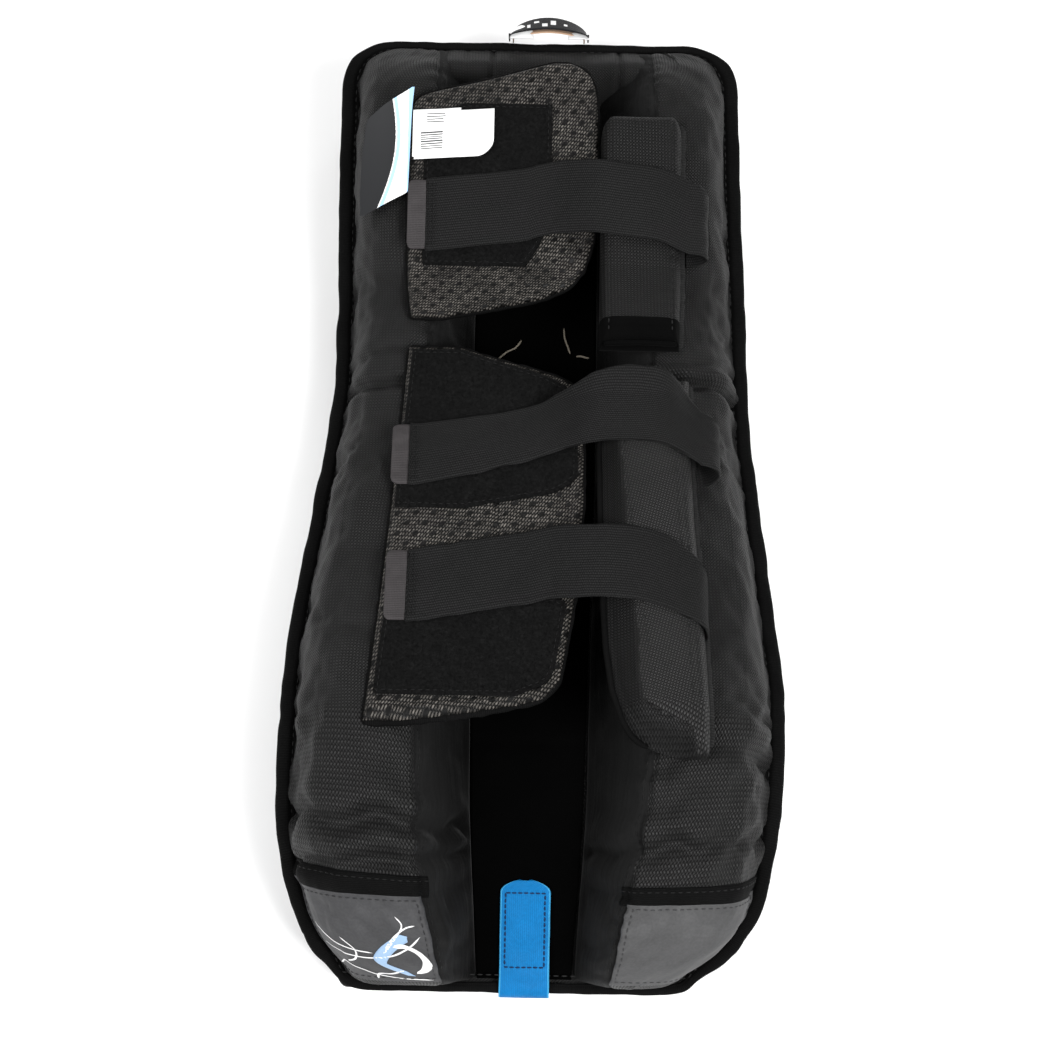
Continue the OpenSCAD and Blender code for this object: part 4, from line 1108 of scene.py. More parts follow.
# ------------------------------------------------------------------ channel liner
def build_liner():
    v = np.arange(7.5, 590.1, 2.2)
    half = np.interp(v, [7, 98, 303, 590], [27.4, 32.6, 38.0, 38.0])
    q = np.linspace(-1, 1, 41)
    x = q[None] * half[:, None]
    vv = np.broadcast_to(v[:, None], x.shape)
    w = deck(v)[:, None] + 0.35 * np.clip(noise2(x, vv, 61, 18, 50), -1.5, 1.5) + 0.4 * np.abs(q)[None] ** 4
    w = w - 0.9 * bump(vv - 128, 3) - 0.9 * bump(vv - 290, 3) - 0.8 * bump(vv - 440, 3)
    P = bend(x, vv, w + 0.45)
    N = bend(x, vv, w + 1.45) - P
    N /= np.linalg.norm(N, axis=2)[..., None]
    # the liner takes the near-black knit, whose darkness is partly painted shade
    ob = skin("channel_liner", P, N, -0.2, 0.9, [LINER_SHADE])
    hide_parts(*[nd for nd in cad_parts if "liner" in nd])


build_liner()


def build_end_panel():
    """Nylon panel that closes the channel at the thigh end, with its two seams."""
    v = np.concatenate([np.arange(552, 598, 1.5), [598.5, 599.3]])
    x = np.linspace(-64, 71, 100)
    X, V = np.meshgrid(x, v)
    lift = CROWN(V) - 3.0 - deck(V)
    W = deck(V) + 1.4 + lift * sstep((V - 556) / 32) * (1 - 0.16 * (1 - ((X - 3) / 68) ** 2)) + 0.5 * noise2(X, V, 65, 20, 50)
    for xs, dp in ((-30.5, 2.2), (-47, 0.9), (50.5, 2.2), (64, 0.7)):
        W = W - dp * bump(X - xs, 1.4) + 0.35 * dp * bump(np.abs(X - xs) - 4, 2.5)
    # the panel's sides and thigh end sink under the neighbouring covers
    W = W - 3.4 * (1 - sstep((X + 64) / 8)) - 3.4 * (1 - sstep((71 - X) / 8))
    W = W - 7.5 * (1 - np.sqrt(1 - np.clip((V - 588) / 12.0, 0, 0.98) ** 2))
    P = bend(X, V, W)
    N = np.cross(np.gradient(P, axis=1), np.gradient(P, axis=0))
    N /= np.linalg.norm(N, axis=2)[..., None]
    if N[5, 5, 2] < 0:
        N = -N
    ob = skin("thigh_end_panel", P, N, -0.8, 0, [NYLON])
    for j, xs in enumerate((-28.7, 52.3)):
        q = int(np.argmin(abs(x - xs)))
        stitches(f"thigh_end_panel_stitching_{j}", P[3:-3, q], N[3:-3, q], TH_GREY, ROOT, 3.0, 1.5, 0.4)


build_end_panel()


# ------------------------------------------------------------------ boot patches with plain line art
def build_patches():
    for side, sg in (("left", 1), ("right", -1)):
        vs, ds, G, Nw, j_in = SURF[side]
        a = np.linspace(0, 1, 110)
        b = np.linspace(0, 1, 150)
        A, B = np.meshgrid(a, b, indexing="ij")
        seam = lambda vq: np.interp(vq, vs, ds[:, j_in]) - 1.2
        # from low on the outer side to past the crown onto the channel wall
        if side == "left":
            v1 = 68.5 - 4.5 * B
            v0 = 11.5 + 2.5 * np.exp(-(B / 0.2) ** 2) * 3.0
        else:
            v1 = 61.5 + 2.5 * (1 - B)
            v0 = 11.5 + 2.5 * np.exp(-(B / 0.2) ** 2) * 3.0
        v = v0 + (v1 - v0) * A
        s = 10 + B * (seam(v) - 10)
        P, N = on_surf(side, v, s)
        ob = skin(side + "_boot_patch_vinyl", P, N, 0.1, 1.25, [VINYL_L if sg > 0 else VINYL_R])
        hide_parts(side + "_boot_patch")
        # edge stitching
        lp = []
        for aa, bb in ((np.full(50, 0.95), np.linspace(0.04, 0.96, 50)), (np.linspace(0.95, 0.05, 40), np.full(40, 0.96)), (np.full(50, 0.05), np.linspace(0.96, 0.04, 50)), (np.linspace(0.05, 0.95, 40), np.full(40, 0.04))):
            v12 = (68.5 - 4.5 * bb) if side == "left" else 61.5 + 2.5 * (1 - bb)
            v02 = 11.5 + 7.5 * np.exp(-(bb / 0.2) ** 2)
            s2 = 10 + bb * (seam(v02 + (v12 - v02) * aa) - 10)
            p, nn = on_surf(side, v02 + (v12 - v02) * aa, s2)
            lp.append((p + nn * 0.00135, nn))
        stitches(side + "_boot_patch_stitching", np.concatenate([l[0] for l in lp]), np.concatenate([l[1] for l in lp]), TH_DIM if side == "left" else TH_MID, ROOT, 2.8, 1.3, 0.36)
        # black trim band above the patch
        bb = np.linspace(-0.02, 1.02, 60)
        top = ((68.5 - 4.5 * bb) if side == "left" else 61.5 + 2.5 * (1 - bb))
        s3 = 9 + bb * (seam(66.0) + 3.0 - 9)
        off = np.linspace(-1.5, 8.5, 9)
        V3 = top[None] + off[:, None]
        P, N = on_surf(side, V3, np.broadcast_to(s3, V3.shape))
        hh = 0.9 * np.sqrt(np.clip(1 - ((off - 3.5) / 5.1) ** 2, 0.05, 1))[:, None] + 0.5
        band = skin(side + "_boot_trim_band", P, N, 0.05, np.broadcast_to(hh, V3.shape), [TAPE])
        P, N = on_surf(side, top + 6.8, s3)
        stitches(side + "_boot_trim_stitching", P + N * 0.0012, N, TH_BLACK, ROOT, 2.8, 1.4, 0.36)

    def art(name, side, pts, width, mat, lift=1.3, closed=False):
        c = catmull(np.array(pts, float), 90)
        T = np.gradient(c, axis=0)
        T /= np.linalg.norm(T, axis=1)[:, None] + 1e-9
        Q = np.stack([-T[:, 1], T[:, 0]], -1)
        wd = (width if np.ndim(width) else np.full(len(c), width)) * np.ones(len(c))
        taper = np.clip(np.minimum(np.arange(len(c)), np.arange(len(c))[::-1]) / 5, 0.15, 1)
        o = np.linspace(-0.5, 0.5, 5)
        S = c[:, None, 0] + Q[:, None, 0] * o[None] * (wd * taper)[:, None]
        V = c[:, None, 1] + Q[:, None, 1] * o[None] * (wd * taper)[:, None]
        P, N = on_surf(side, V, S)
        ob = skin(name, P, N, lift + 0.16, lift + 0.32, [mat])

    # coordinates: distance round the section from the outer foot, and v
    art("left_patch_chevron", "left", [(93, 41.5), (85, 38), (75, 32.8), (66.5, 27.5), (64.3, 25), (65, 22.6), (70.5, 16)], 4.8, PBLUE)
    hk = 0.7 + 2.7 * np.sin(np.linspace(0.1, 1, 90) * np.pi) ** 0.8
    art("left_patch_hook", "left", [(81, 35.2), (87.5, 35.4), (91, 31.2), (89.3, 25.2), (82, 20.3), (74, 17.8)], hk, LINE, 1.34)
    thin = {"a": [(30, 33), (47, 29.7), (60, 28), (74, 29.3), (90, 35), (100, 41)],
            "b": [(91, 53), (93, 48), (89, 43), (80, 36), (72, 31)],
            "c": [(25, 20), (38, 23.5), (46, 20), (50, 16.5), (60, 14.2), (76, 13)],
            "d": [(55, 40), (58, 33), (52, 27), (44, 24.5)],
            "e": [(76, 34), (87, 42), (94, 46), (100, 47.5)],
            "f": [(34, 45), (44, 40), (53, 34), (66, 31)],
            "g": [(46, 13.5), (52, 17), (60, 17.5), (70, 20)]}
    for k2, pts in thin.items():
        art("left_patch_line_" + k2, "left", pts, 0.75, LINE, 1.3)


build_patches()


# ------------------------------------------------------------------ blue foot strap
def build_foot_strap():
    vw = np.array([(66.5, 2.3), (64, 2.5), (50, 2.6), (34, 2.7), (18, 3.0), (11, 4.2), (6.5, 6.0), (3.0, 6.9), (-0.4, 6.2), (-2.4, 3.4), (-3.2, -1.5), (-3.2, -9), (-2.9, -16)])
    C = resample(catmull(vw, 200), 120)
    v = C[:, 0]
    w = deck(np.clip(v, 0, None)) + C[:, 1]
    s = np.concatenate([[0], np.cumsum(np.linalg.norm(np.diff(np.stack([v, w], -1), axis=0), axis=1))])
    half = 14.5 * np.sqrt(np.clip(1 - (np.clip(7 - s, 0, 7) / 7.2) ** 2, 0.02, 1))
    half = half - 0.08 * noise1(s, 71, 20, 40)
    q = np.linspace(-1, 1, 33)
    x = q[None] * half[:, None]
    V = np.broadcast_to(v[:, None], x.shape)
    W = w[:, None] + 0.5 * (1 - q[None] ** 2) + 0.25 * noise2(x, np.broadcast_to(s[:, None], x.shape), 72, 12, 30)
    P = bend(x, V, W)
    Tn = np.gradient(P, axis=0)
    Tx = np.gradient(P, axis=1)
    N = np.cross(Tx, Tn)
    N /= np.linalg.norm(N, axis=2)[..., None] + 1e-12
    if N[30, 16, 2] < 0:
        N = -N
    c = np.zeros((len(v) - 1, len(q) - 1), int)
    c[:, :1] = 1
    c[:, -1:] = 1
    ob = skin("foot_strap_webbing", P, N, -0.8, 0.8, [BLUE, PALEBLUE], c)
    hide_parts("foot_strap")

    def line(nm, xs, ss, mat=TH_NAVY, r=0.5):
        p = []
        for a, b in zip(xs, ss):
            fi = np.interp(b, s, np.arange(len(s)))
            i0 = int(min(fi, len(s) - 2))
            f = fi - i0
            row = P[i0] * (1 - f) + P[i0 + 1] * f
            h = half[i0]
            p.append([np.interp(a / h, q, row[:, d]) for d in range(3)])
        p = np.array(p)
        nn = np.array([N[int(min(np.interp(b, s, np.arange(len(s))), len(s) - 1)), 16] for b in ss])
        stitches(nm, p + nn * 0.00085, nn, mat, ROOT, 3.0, 0.35, r)
    lin = np.linspace
    for j, r0 in enumerate((0,)):
        xa, sa, sb = 11.4 - r0, 7.2 + r0, 52.5 - r0
        line(f"foot_strap_box_stitch_{j}", np.concatenate([lin(-xa, xa, 20), lin(xa, xa, 30), lin(xa, -xa, 20), lin(-xa, -xa, 30)]), np.concatenate([lin(sa, sa, 20), lin(sa, sb, 30), lin(sb, sb, 20), lin(sb, sa, 30)]))


build_foot_strap()


# ------------------------------------------------------------------ flat padded pieces
def poly_dist(x, v, poly, is_open=False):
    """Distance to a closed outline, arrays in mm."""
    a, b = poly, np.roll(poly, -1, 0)
    if is_open:
        a, b = a[:-1], b[:-1]
    best = np.full(x.shape, 1e9)
    for p, q in zip(a, b):
        d = q - p
        L = d @ d
        if L < 1e-9:
            continue
        t = np.clip(((x - p[0]) * d[0] + (v - p[1]) * d[1]) / L, 0, 1)
        best = np.minimum(best, np.hypot(x - p[0] - t * d[0], v - p[1] - t * d[1]))
    return best


class Rows:
    def __init__(s, rows, sm=2.5, step=0.5):
        r = np.array(rows, float)
        s.v0, s.v1 = r[0, 0], r[-1, 0]
        g = np.arange(s.v0, s.v1 + step / 2, step)
        s.g = g
        s.cols = [smooth1(np.interp(g, r[:, 0], r[:, c]), sm / step) for c in range(1, r.shape[1])]

    def at(s, v, c):
        return np.interp(v, s.g, s.cols[c])

    def poly(s, step=3):
        i = np.unique(np.concatenate([np.arange(0, len(s.g), int(step / 0.5)), [len(s.g) - 1]]))
        return np.concatenate([np.stack([s.cols[0][i], s.g[i]], -1), np.stack([s.cols[1][i], s.g[i]], -1)[::-1]])


def pad(name, rows, w_lo, w_hi, w_edge, e_top, e_bot, mats, height=None, res=1.8, nx=60, body=ROOT, detail=None, power=2.0, cm=None, merge=True):
    """A padded plate with a rounded outline."""
    v0, v1 = rows.v0, rows.v1
    a = np.linspace(0, 1, 7)[1:-1] ** 1.6
    ends = 5.0
    v = np.concatenate([[v0], v0 + a * ends, np.arange(v0 + ends, v1 - ends, res), (v1 - a * ends)[::-1], [v1]])
    t = np.linspace(0, 1, nx)
    t = 0.5 - 0.5 * np.cos(np.pi * t) * (1 - 0.35 * np.sin(np.pi * t) ** 2)
    t = 0.45 * t + 0.55 * np.linspace(0, 1, nx)
    t = np.concatenate([[0, t[1] * .25, t[1] * .6], t[1:-1], [1 - (1 - t[-2]) * .6, 1 - (1 - t[-2]) * .25, 1]])
    l, r = rows.at(v, 0), rows.at(v, 1)
    x = l[:, None] + (r - l)[:, None] * t[None]
    V = np.broadcast_to(v[:, None], x.shape)
    d = poly_dist(x, V, rows.poly())
    d[0], d[-1], d[:, 0], d[:, -1] = 0, 0, 0, 0

    def prof(e):
        return (1 - np.clip(1 - d / e, 0, 1) ** power) ** (1 / power)
    hi = height(x, V) if height else np.full(x.shape, float(w_hi))
    we = w_edge if not callable(w_edge) else w_edge(x, V)
    top = we + (hi - we) * prof(e_top)
    bot = we + (w_lo - we) * prof(e_bot)
    if detail:
        top = top + detail(x, V, d) * np.clip(d / 2.0, 0, 1)
    ring = np.concatenate([np.stack([x, V, top], -1), np.stack([x, V, bot], -1)[:, ::-1][:, 1:-1]], 1)
    G = bend(ring[..., 0], ring[..., 1], ring[..., 2])
    ux = np.concatenate([x, x[:, ::-1][:, 1:-1]], 1)
    fab = np.stack([ux / 1000, ring[..., 1] / 1000, ux * 0], -1)
    k = G.shape[1]
    cmm = None
    if cm is not None:
        xc = (ring[:-1, :, 0] + np.roll(ring, -1, 1)[:-1, :, 0]) / 2
        vc = (ring[:-1, :, 1] + ring[1:, :, 1]) / 2
        wc = (ring[:-1, :, 2] + ring[1:, :, 2]) / 2
        cmm = cm(xc, vc, wc)
    ob = loft(name, G, mats, fab, cmm, caps=False)
    fix_normals(ob, merge)
    if body:
        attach(ob, body)
    return ob, (x, V, top, d)


def on_top(field, xs, vs, lift=0.0):
    """Points on a pad's top face at x, v."""
    x, V, top, d = field
    v = V[:, 0]
    out = []
    for a, b in zip(np.atleast_1d(xs), np.atleast_1d(vs)):
        fi = np.interp(b, v, np.arange(len(v)))
        i0 = int(min(fi, len(v) - 2))
        f = fi - i0
        w = np.interp(a, x[i0], top[i0]) * (1 - f) + np.interp(a, x[i0 + 1], top[i0 + 1]) * f
        out.append(w + lift)
    return np.array(out)


def top_path(field, xs, vs, lift=0.0):
    xs, vs = np.asarray(xs, float), np.asarray(vs, float)
    return bend(xs, vs, on_top(field, xs, vs, lift)), up_at(vs)


def edge_tube(name, rows, w, r, mat, body, grow=0.0, v_from=None, v_to=None, sides="lr", ends=True, noise=0.2):
    P = rows.poly(2)
    P = np.concatenate([P, P[:1]])
    C = resample(P, int(np.linalg.norm(np.diff(P, axis=0), axis=1).sum() / 1.6), True)
    for _ in range(3):
        C = (np.roll(C, 1, 0) + 2 * C + np.roll(C, -1, 0)) / 4
    T, N = path_frame(C)
    ctr = C.mean(0)
    if ((C - ctr) * N).sum() < 0:
        N = -N
    C = C + N * grow
    s = np.concatenate([[0], np.cumsum(np.linalg.norm(np.diff(C, axis=0), axis=1))])
    rr = r + noise * noise1(s, 83, 8, 24)
    k = 12
    th = np.arange(k) * 2 * math.pi / k
    X = C[:, 0][:, None] + N[:, 0][:, None] * rr[:, None] * np.cos(th)
    V = C[:, 1][:, None] + N[:, 1][:, None] * rr[:, None] * np.cos(th)
    ww = w if not callable(w) else w(C[:, 0], C[:, 1])
    W = np.broadcast_to(np.asarray(ww, float), (len(C),))[:, None] + rr[:, None] * np.sin(th) * 1.15
    G = bend(X, V, W)
    u = np.broadcast_to(th * r / 1000, X.shape)
    vv = np.broadcast_to((s / 1000)[:, None], X.shape)
    ob = loft(name, G, [mat], np.stack([u, vv, u * 0], -1), closed_n=True)
    fix_normals(ob)
    if body:
        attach(ob, body)
    return ob


FLAP = Rows([[394, -76, -58], [401, -77, -34], [412, -78, 2], [424, -79, 20], [441, -79.5, 29], [461, -80, 35], [494, -80, 36.5], [536, -79.5, 36.5], [546, -78.5, 36], [552, -73, 35.4], [560, -37, 33.6], [567, -13.5, 30.2], [571, 0, 25.5], [573, 8, 19]], 2.0)
WRAP = Rows([[123, -93, -74], [126, -92.5, -27], [132, -92, 6], [144, -91, 17], [193, -87, 25], [257, -83, 30], [288, -81.5, 30], [310, -80, 29.5], [332, -79, 27], [350, -78, 24], [357, -77.5, 6], [364, -77, -21], [372, -76.5, -46]], 2.0)
P_KNEE = Rows([[441, -70, -8], [452, -70.5, 0], [470, -71, 8], [536, -71, 8], [545, -46, 8]], 1.5)
P_UP = Rows([[251, -81, -40], [262, -80.5, 14], [272, -80, 26.5], [288, -79.5, 26.5], [310, -78, 26.5], [332, -77, 24], [345, -76, 21.5], [354, -75.5, 5], [361, -75, -20], [369, -74.5, -44]], 1.5)
P_LOW = Rows([[134, -88, -8], [142, -87.5, 10], [150, -87, 14], [193, -83, 21], [205, -82.5, -30], [213, -82, -66]], 1.5)


def quilt(qx, seed, cross=()):
    def f(x, v, d):
        o = -1.3 * bump(x - qx(v), 1.9) + 0.5 * bump(np.abs(x - qx(v)) - 6, 5)
        o = o - 0.9 * bump(d - 7.0, 1.1)                     # stitched line inside the edge
        o = o + 0.35 * noise2(x, v, seed, 14, 40)
        o = o + 0.4 * noise1(v, seed + 1, 6, 12) * bump(x - qx(v), 7) * 0.6
        for vc in cross:
            o = o - 1.0 * bump(v - vc, 1.6)
        return o
    return f


def build_flap():
    qx = lambda v: -7 + 0 * v
    ob, F = pad("knee_flap_mesh", FLAP, 93.7, 101.2, 97.0, 6.0, 3.0, [MESH], nx=64, body=None, detail=quilt(qx, 101))
    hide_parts("knee_flap_cover", "knee_flap_foam")
    a, b = bend(-82.0, 470, 97.0), bend(-70.0, 470, 97.0)
    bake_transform(ob)
    e = edge_tube("knee_flap_edge", FLAP, 96.2, 1.5, TAPE, None)
    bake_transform(e)
    v = np.linspace(418, 560, 120)
    P, N = top_path(F, np.full(120, -7.0), v, 0.1)
    stitches("knee_flap_quilting", P, N, TH_BLACK, "knee_flap_body", 3.2, 1.6, 0.42)
    pl = FLAP.poly(3)
    ctr = pl.mean(0)
    C = resample(np.concatenate([pl, pl[:1]]), 300, True)
    T, N2 = path_frame(C)
    if ((C - ctr) * N2).sum() < 0:
        N2 = -N2
    C = C - N2 * 7.0
    P, N = top_path(F, C[:, 0], C[:, 1], -0.5)
    keep = C[:, 0] > -68
    i0 = int(np.argmin(keep)) if not keep.all() else 0
    order = np.roll(np.arange(len(C)), -i0)
    order = order[keep[order]]
    stitches("knee_flap_edge_stitching", P[order], N[order], TH_BLACK, "knee_flap_body", 2.8, 1.5, 0.4)
    return F


def fuzz(seed):
    def f(x, v, d):
        return 0.22 * noise2(x, v, seed, 2.6, 6.5, 20) + 0.25 * noise2(x, v, seed + 1, 15, 45) - 0.45 * bump(d - 2.4, 0.8)
    return f


def panel(name, rows, body, field, seed, node):
    ob, F = pad(name, rows, 100.9, 103.3, 101.6, 1.6, 1.0, [LOOP], nx=70, res=1.25, body=body, detail=fuzz(seed))
    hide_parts(node)
    pl = rows.poly(3)
    C = resample(np.concatenate([pl, pl[:1]]), 260, True)
    T, N2 = path_frame(C)
    if ((C - pl.mean(0)) * N2).sum() < 0:
        N2 = -N2
    C = C - N2 * 2.4
    P, N = top_path(F, C[:, 0], C[:, 1], 0.0)
    stitches(name + "_stitching", np.concatenate([P, P[:1]]), np.concatenate([N, N[:1]]), TH_BLACK, body, 2.8, 1.4, 0.3)
    return F


def build_wrap():
    qx = lambda v: -19.5 + 0 * v
    ob, F = pad("calf_wrap_mesh", WRAP, 93.7, 101.2, 97.0, 6.0, 3.0, [MESH], nx=64, body=None, detail=quilt(qx, 111))
    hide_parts("calf_wrap_cover", "calf_wrap_foam")
    # the sewn left edge runs from x -93 at v 123 to x -76.5 at v 372
    p0, p1 = bend(-93.0, 123, 97.0), bend(-76.5, 372, 97.0)
    t = (p1 - p0) / np.linalg.norm(p1 - p0)
    across = np.cross(t, np.array([0, 0, 1.0]))
    across /= np.linalg.norm(across)
    if across[0] < 0:
        across = -across
    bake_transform(ob)
    e = edge_tube("calf_wrap_edge", WRAP, 96.2, 1.5, TAPE, None)
    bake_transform(e)
    v = np.linspace(134, 356, 180)
    P, N = top_path(F, np.full(180, -19.5), v, 0.1)
    stitches("calf_wrap_quilting", P, N, TH_BLACK, "calf_wrap_body", 3.2, 1.6, 0.42)
    return F


F_FLAP = build_flap()
F_WRAP = build_wrap()
F_PK = panel("knee_loop_pile", P_KNEE, "knee_flap_body", F_FLAP, 121, "knee_loop_panel")
F_PU = panel("upper_calf_loop_pile", P_UP, "calf_wrap_body", F_WRAP, 123, "upper_calf_loop_panel")
F_PL = panel("lower_calf_loop_pile", P_LOW, "calf_wrap_body", F_WRAP, 125, "lower_calf_loop_panel")


# ------------------------------------------------------------------ care label: two soft layers, grey bars only
def build_label():
    def layer(nm, x0, x1, v0, v1, w, seed, rnd):
        a = np.linspace(0, 1, 26)
        b = np.linspace(0, 1, 40)
        A, B = np.meshgrid(a, b, indexing="ij")
        x = x0 + (x1 - x0) * B
        V = v0 + (v1 - v0) * A
        # rounded lower right corner
        cx, cv = x1 - rnd, v0 + rnd
        q = (x > cx) & (V < cv)
        dist = np.hypot(x - cx, V - cv)
        f = np.where(q & (dist > rnd), rnd / np.maximum(dist, 1e-6), 1)
        x = np.where(q, cx + (x - cx) * f, x)
        V = np.where(q, cv + (V - cv) * f, V)
        W = w + 0.35 * noise2(x, V, seed, 22, 50) + 0.9 * sstep((B - 0.75) / 0.25) * sstep((0.35 - A) / 0.35)
        V = V + 0.075 * (x + 78)
        P = bend(x, V, W)
        N = bend(x, V, W + 1) - P
        N /= np.linalg.norm(N, axis=2)[..., None]
        ob = skin(nm, P, N, 0, 0.35, [WHITE], body="knee_flap_body")
        return x, V, W, ob
    x, V, W, ob = layer("care_label_back", -77, -28, 507, 537.0, 104.9, 131, 10.5)
    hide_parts("care_label")
    layer("care_label_front", -78.0, -48.5, 508.5, 538.4, 105.4, 132, 2.5)
    r = np.random.RandomState(5)

    def bar(nm, x0, x1, v0, v1):
        X, Vb = np.meshgrid(np.linspace(x0, x1, 6), np.linspace(v0, v1, 3))
        Wb = 105.4 + 0.35 * noise2(X, Vb, 132, 22, 50) + 0.36
        Vb = Vb + 0.075 * (X + 78)
        P = bend(X, Vb, Wb)
        N = bend(X, Vb, Wb + 1) - P
        N /= np.linalg.norm(N, axis=2)[..., None]
        skin(nm, P, N, 0, 0.08, [INK], body="knee_flap_body")
    v = 513.0
    for j in range(8):
        t = r.uniform(0.4, 1.1)
        bar(f"care_label_bar_{j}", -73.0, -59.5, v, v + t)
        v += t + r.uniform(0.6, 0.9)
    for j in range(4):
        bar(f"care_label_line_{j}", -69.5, -69.5 + r.uniform(9, 13), 530 + 1.7 * j, 530.6 + 1.7 * j)


build_label()


# ------------------------------------------------------------------ knee block and calf wing
BLOCK = Rows([[372, 38.5, 87], [390, 38.5, 87.5], [412, 38.5, 88], [440, 38.5, 88], [526, 38.5, 88], [533, 40, 86.5], [537, 44, 83]], 1.2)
WING = Rows([[112, 84, 100.5, 92], [115, 66, 101.3, 84], [119, 57.5, 101.5, 76], [126, 51.5, 101.5, 68], [140, 47, 101, 65], [165, 43.5, 100, 62], [191, 42, 98.5, 59], [240, 40.5, 95, 54], [288, 39.5, 93.5, 50], [310, 39.5, 93, 50], [332, 39, 93, 50], [350, 39, 93, 50]], 2.0)


def build_block():
    def h(x, v):
        return 113.2 + 0.9 * np.sin(np.clip((x - 38.5) / 49, 0, 1) * np.pi) - 0.4
    def det(x, v, d):
        o = 0.4 * noise2(x, v, 141, 20, 60)
        o = o - 1.0 * bump(x - 82.2, 1.1) - 0.8 * bump(x - 44.0, 1.0) * (v < 528)
        o = o - 1.1 * bump(v - 384, 1.5) + 0.4 * noise1(v, 142, 7, 14) * bump(x - 82, 6)
        return o
    # painted shade: the band of the block below v 389 takes the dark end knit
    def shaded_low_end(x, v, w):
        return np.where(v < 389, 1, 0)
    ob, F = pad("knee_block_nylon", BLOCK, 94.7, 113.5, 98.0, 8.5, 3.0, [NYLON_B, END_KNIT_SHADE], cm=shaded_low_end, height=h, nx=50, body=None, detail=det, power=2.6)
    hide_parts("knee_block_cover", "knee_block_foam")
    a, b = bend(90.5, 455, 96.0), bend(80.5, 455, 96.0)
    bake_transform(ob)
    for nm, xx in (("outer", 82.2), ("inner", 44.0)):
        v = np.linspace(380, 526, 120)
        P, N = top_path(F, np.full(120, xx), v, 0.0)
        stitches("knee_block_stitching_" + nm, P, N, TH_GREY, "knee_block_body", 3.0, 1.5, 0.4)
    # bound right edge
    v = np.linspace(372.5, 533, 150)
    x = BLOCK.at(v, 1) + 0.4 + 0.25 * noise1(v, 143, 8, 18)
    P = bend(x, v, np.full(150, 99.6) + 0.5 * noise1(v, 144, 10, 30))
    t = tube("knee_block_edge_binding", P, 0.0024, PIPE, 10)
    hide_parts("knee_block_piping")
    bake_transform(t)
    x = np.linspace(41, 85, 40)
    P = bend(x, np.full(40, 371.8), np.full(40, 109.0) + 2.2 * np.sin((x - 41) / 44 * np.pi))
    # the hem takes the dark end knit too, partly painted shade
    t = tube("knee_block_lower_hem", P, 0.0015, END_KNIT_SHADE, 8)
    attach(t, "knee_block_body")
    return F


PIPE = m_tape("bound_edge_tape", base=0.019, rib=0.0016)


def build_wing():
    def ridge(v):
        return WING.at(v, 2)
    def h(x, v):
        l, r, k = WING.at(v, 0), WING.at(v, 1), ridge(v)
        k = np.maximum(k, l + 2)
        g = np.linspace(112, 350, 80)
        line = np.stack([WING.at(g, 0), g], -1)
        d2 = poly_dist(x, v, line, True)
        wid = np.interp(v, [114, 124, 135, 165, 191, 240, 288, 350], [9, 9.5, 13, 17, 16.5, 14, 11.5, 11.5])
        t = np.clip(d2 / wid, 0, 1)
        t = np.where(t > 0.9, 0.9 + 0.1 * sstep((t - 0.9) / 0.1), t)
        up = 98.6 + (113.6 - 98.6) * t
        return up + 0.8 * np.sin(np.clip((x - l) / np.maximum(r - l, 1), 0, 1) * np.pi) - 0.5
    def det(x, v, d):
        k = ridge(v)
        g = np.linspace(112, 350, 80)
        d2 = poly_dist(x, v, np.stack([WING.at(g, 0), g], -1), True)
        wid = np.interp(v, [114, 124, 135, 165, 191, 240, 288, 350], [9, 9.5, 13, 17, 16.5, 14, 11.5, 11.5])
        o = -1.5 * bump(d2 - wid - 1.5, 1.3)
        o = o - 1.0 * bump(x - (WING.at(v, 1) - 6.0), 0.9) - 0.8 * bump(x - (WING.at(v, 1) - 10.0), 0.9)
        o = o + 0.5 * noise2(x, v, 151, 22, 60) - 0.8 * bump(d - 4.5, 0.9) * (x < k)
        return o
    # painted shade: the bevel band and the low edge take the darker nylon copy, and the top face takes the brighter,
    # lit one
    def bev(x, v, w):
        g = np.linspace(112, 350, 80)
        d2 = poly_dist(x, v, np.stack([WING.at(g, 0), g], -1), True)
        wid = np.interp(v, [114, 124, 135, 165, 191, 240, 288, 350], [9, 9.5, 13, 17, 16.5, 14, 11.5, 11.5])
        return np.where((d2 < wid + 1.0) | (w < 106), 1, 0)
    ob, F = pad("calf_wing_nylon", WING, 94.7, 113.5, 97.2, 6.5, 2.5, [NYLON2_LIT, NYLON3_SHADE], cm=bev, height=h, nx=58, body=None, detail=det, power=2.3)
    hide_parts("calf_wing_cover", "calf_wing_foam")
    p0, p1 = bend(102.5, 114, 96.0), bend(94.0, 350, 96.0)
    t = (p1 - p0) / np.linalg.norm(p1 - p0)
    ac = np.cross(t, np.array([0, 0, 1.0]))
    ac /= np.linalg.norm(ac)
    if ac[0] > 0:
        ac = -ac
    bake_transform(ob)
    v = np.linspace(132, 344, 170)
    P, N = top_path(F, ridge(v) + 4.0, v, 0.0)
    stitches("calf_wing_bevel_stitching", P, N, TH_GREY, "calf_wing_body", 3.0, 1.5, 0.42)
    for nm, o in (("a", 6.0), ("b", 10.0)):
        P, N = top_path(F, WING.at(v, 1) - o, v, 0.1)
        stitches("calf_wing_edge_stitching_" + nm, P, N, TH_GREY, "calf_wing_body", 3.0, 1.5, 0.42)
    v = np.linspace(116, 349, 190)
    x = WING.at(v, 1) + 0.4 + 0.25 * noise1(v, 153, 8, 18)
    P = bend(x, v, np.full(190, 99.0) + 0.4 * noise1(v, 154, 10, 30))
    t2 = tube("calf_wing_edge_binding", P, 0.0023, PIPE, 10)
    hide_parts("calf_wing_piping")
    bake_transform(t2)
    # arc hem along the bottom and left edge
    vv = np.concatenate([np.linspace(115.5, 165, 60), np.linspace(167, 348, 90)])
    x = WING.at(vv, 0) - 0.3
    P = bend(x, vv, np.full(len(vv), 98.2))
    t3 = tube("calf_wing_hem", P, 0.0019, TAPE, 8)
    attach(t3, "calf_wing_body")
    return F


F_BLOCK = build_block()
F_WING = build_wing()


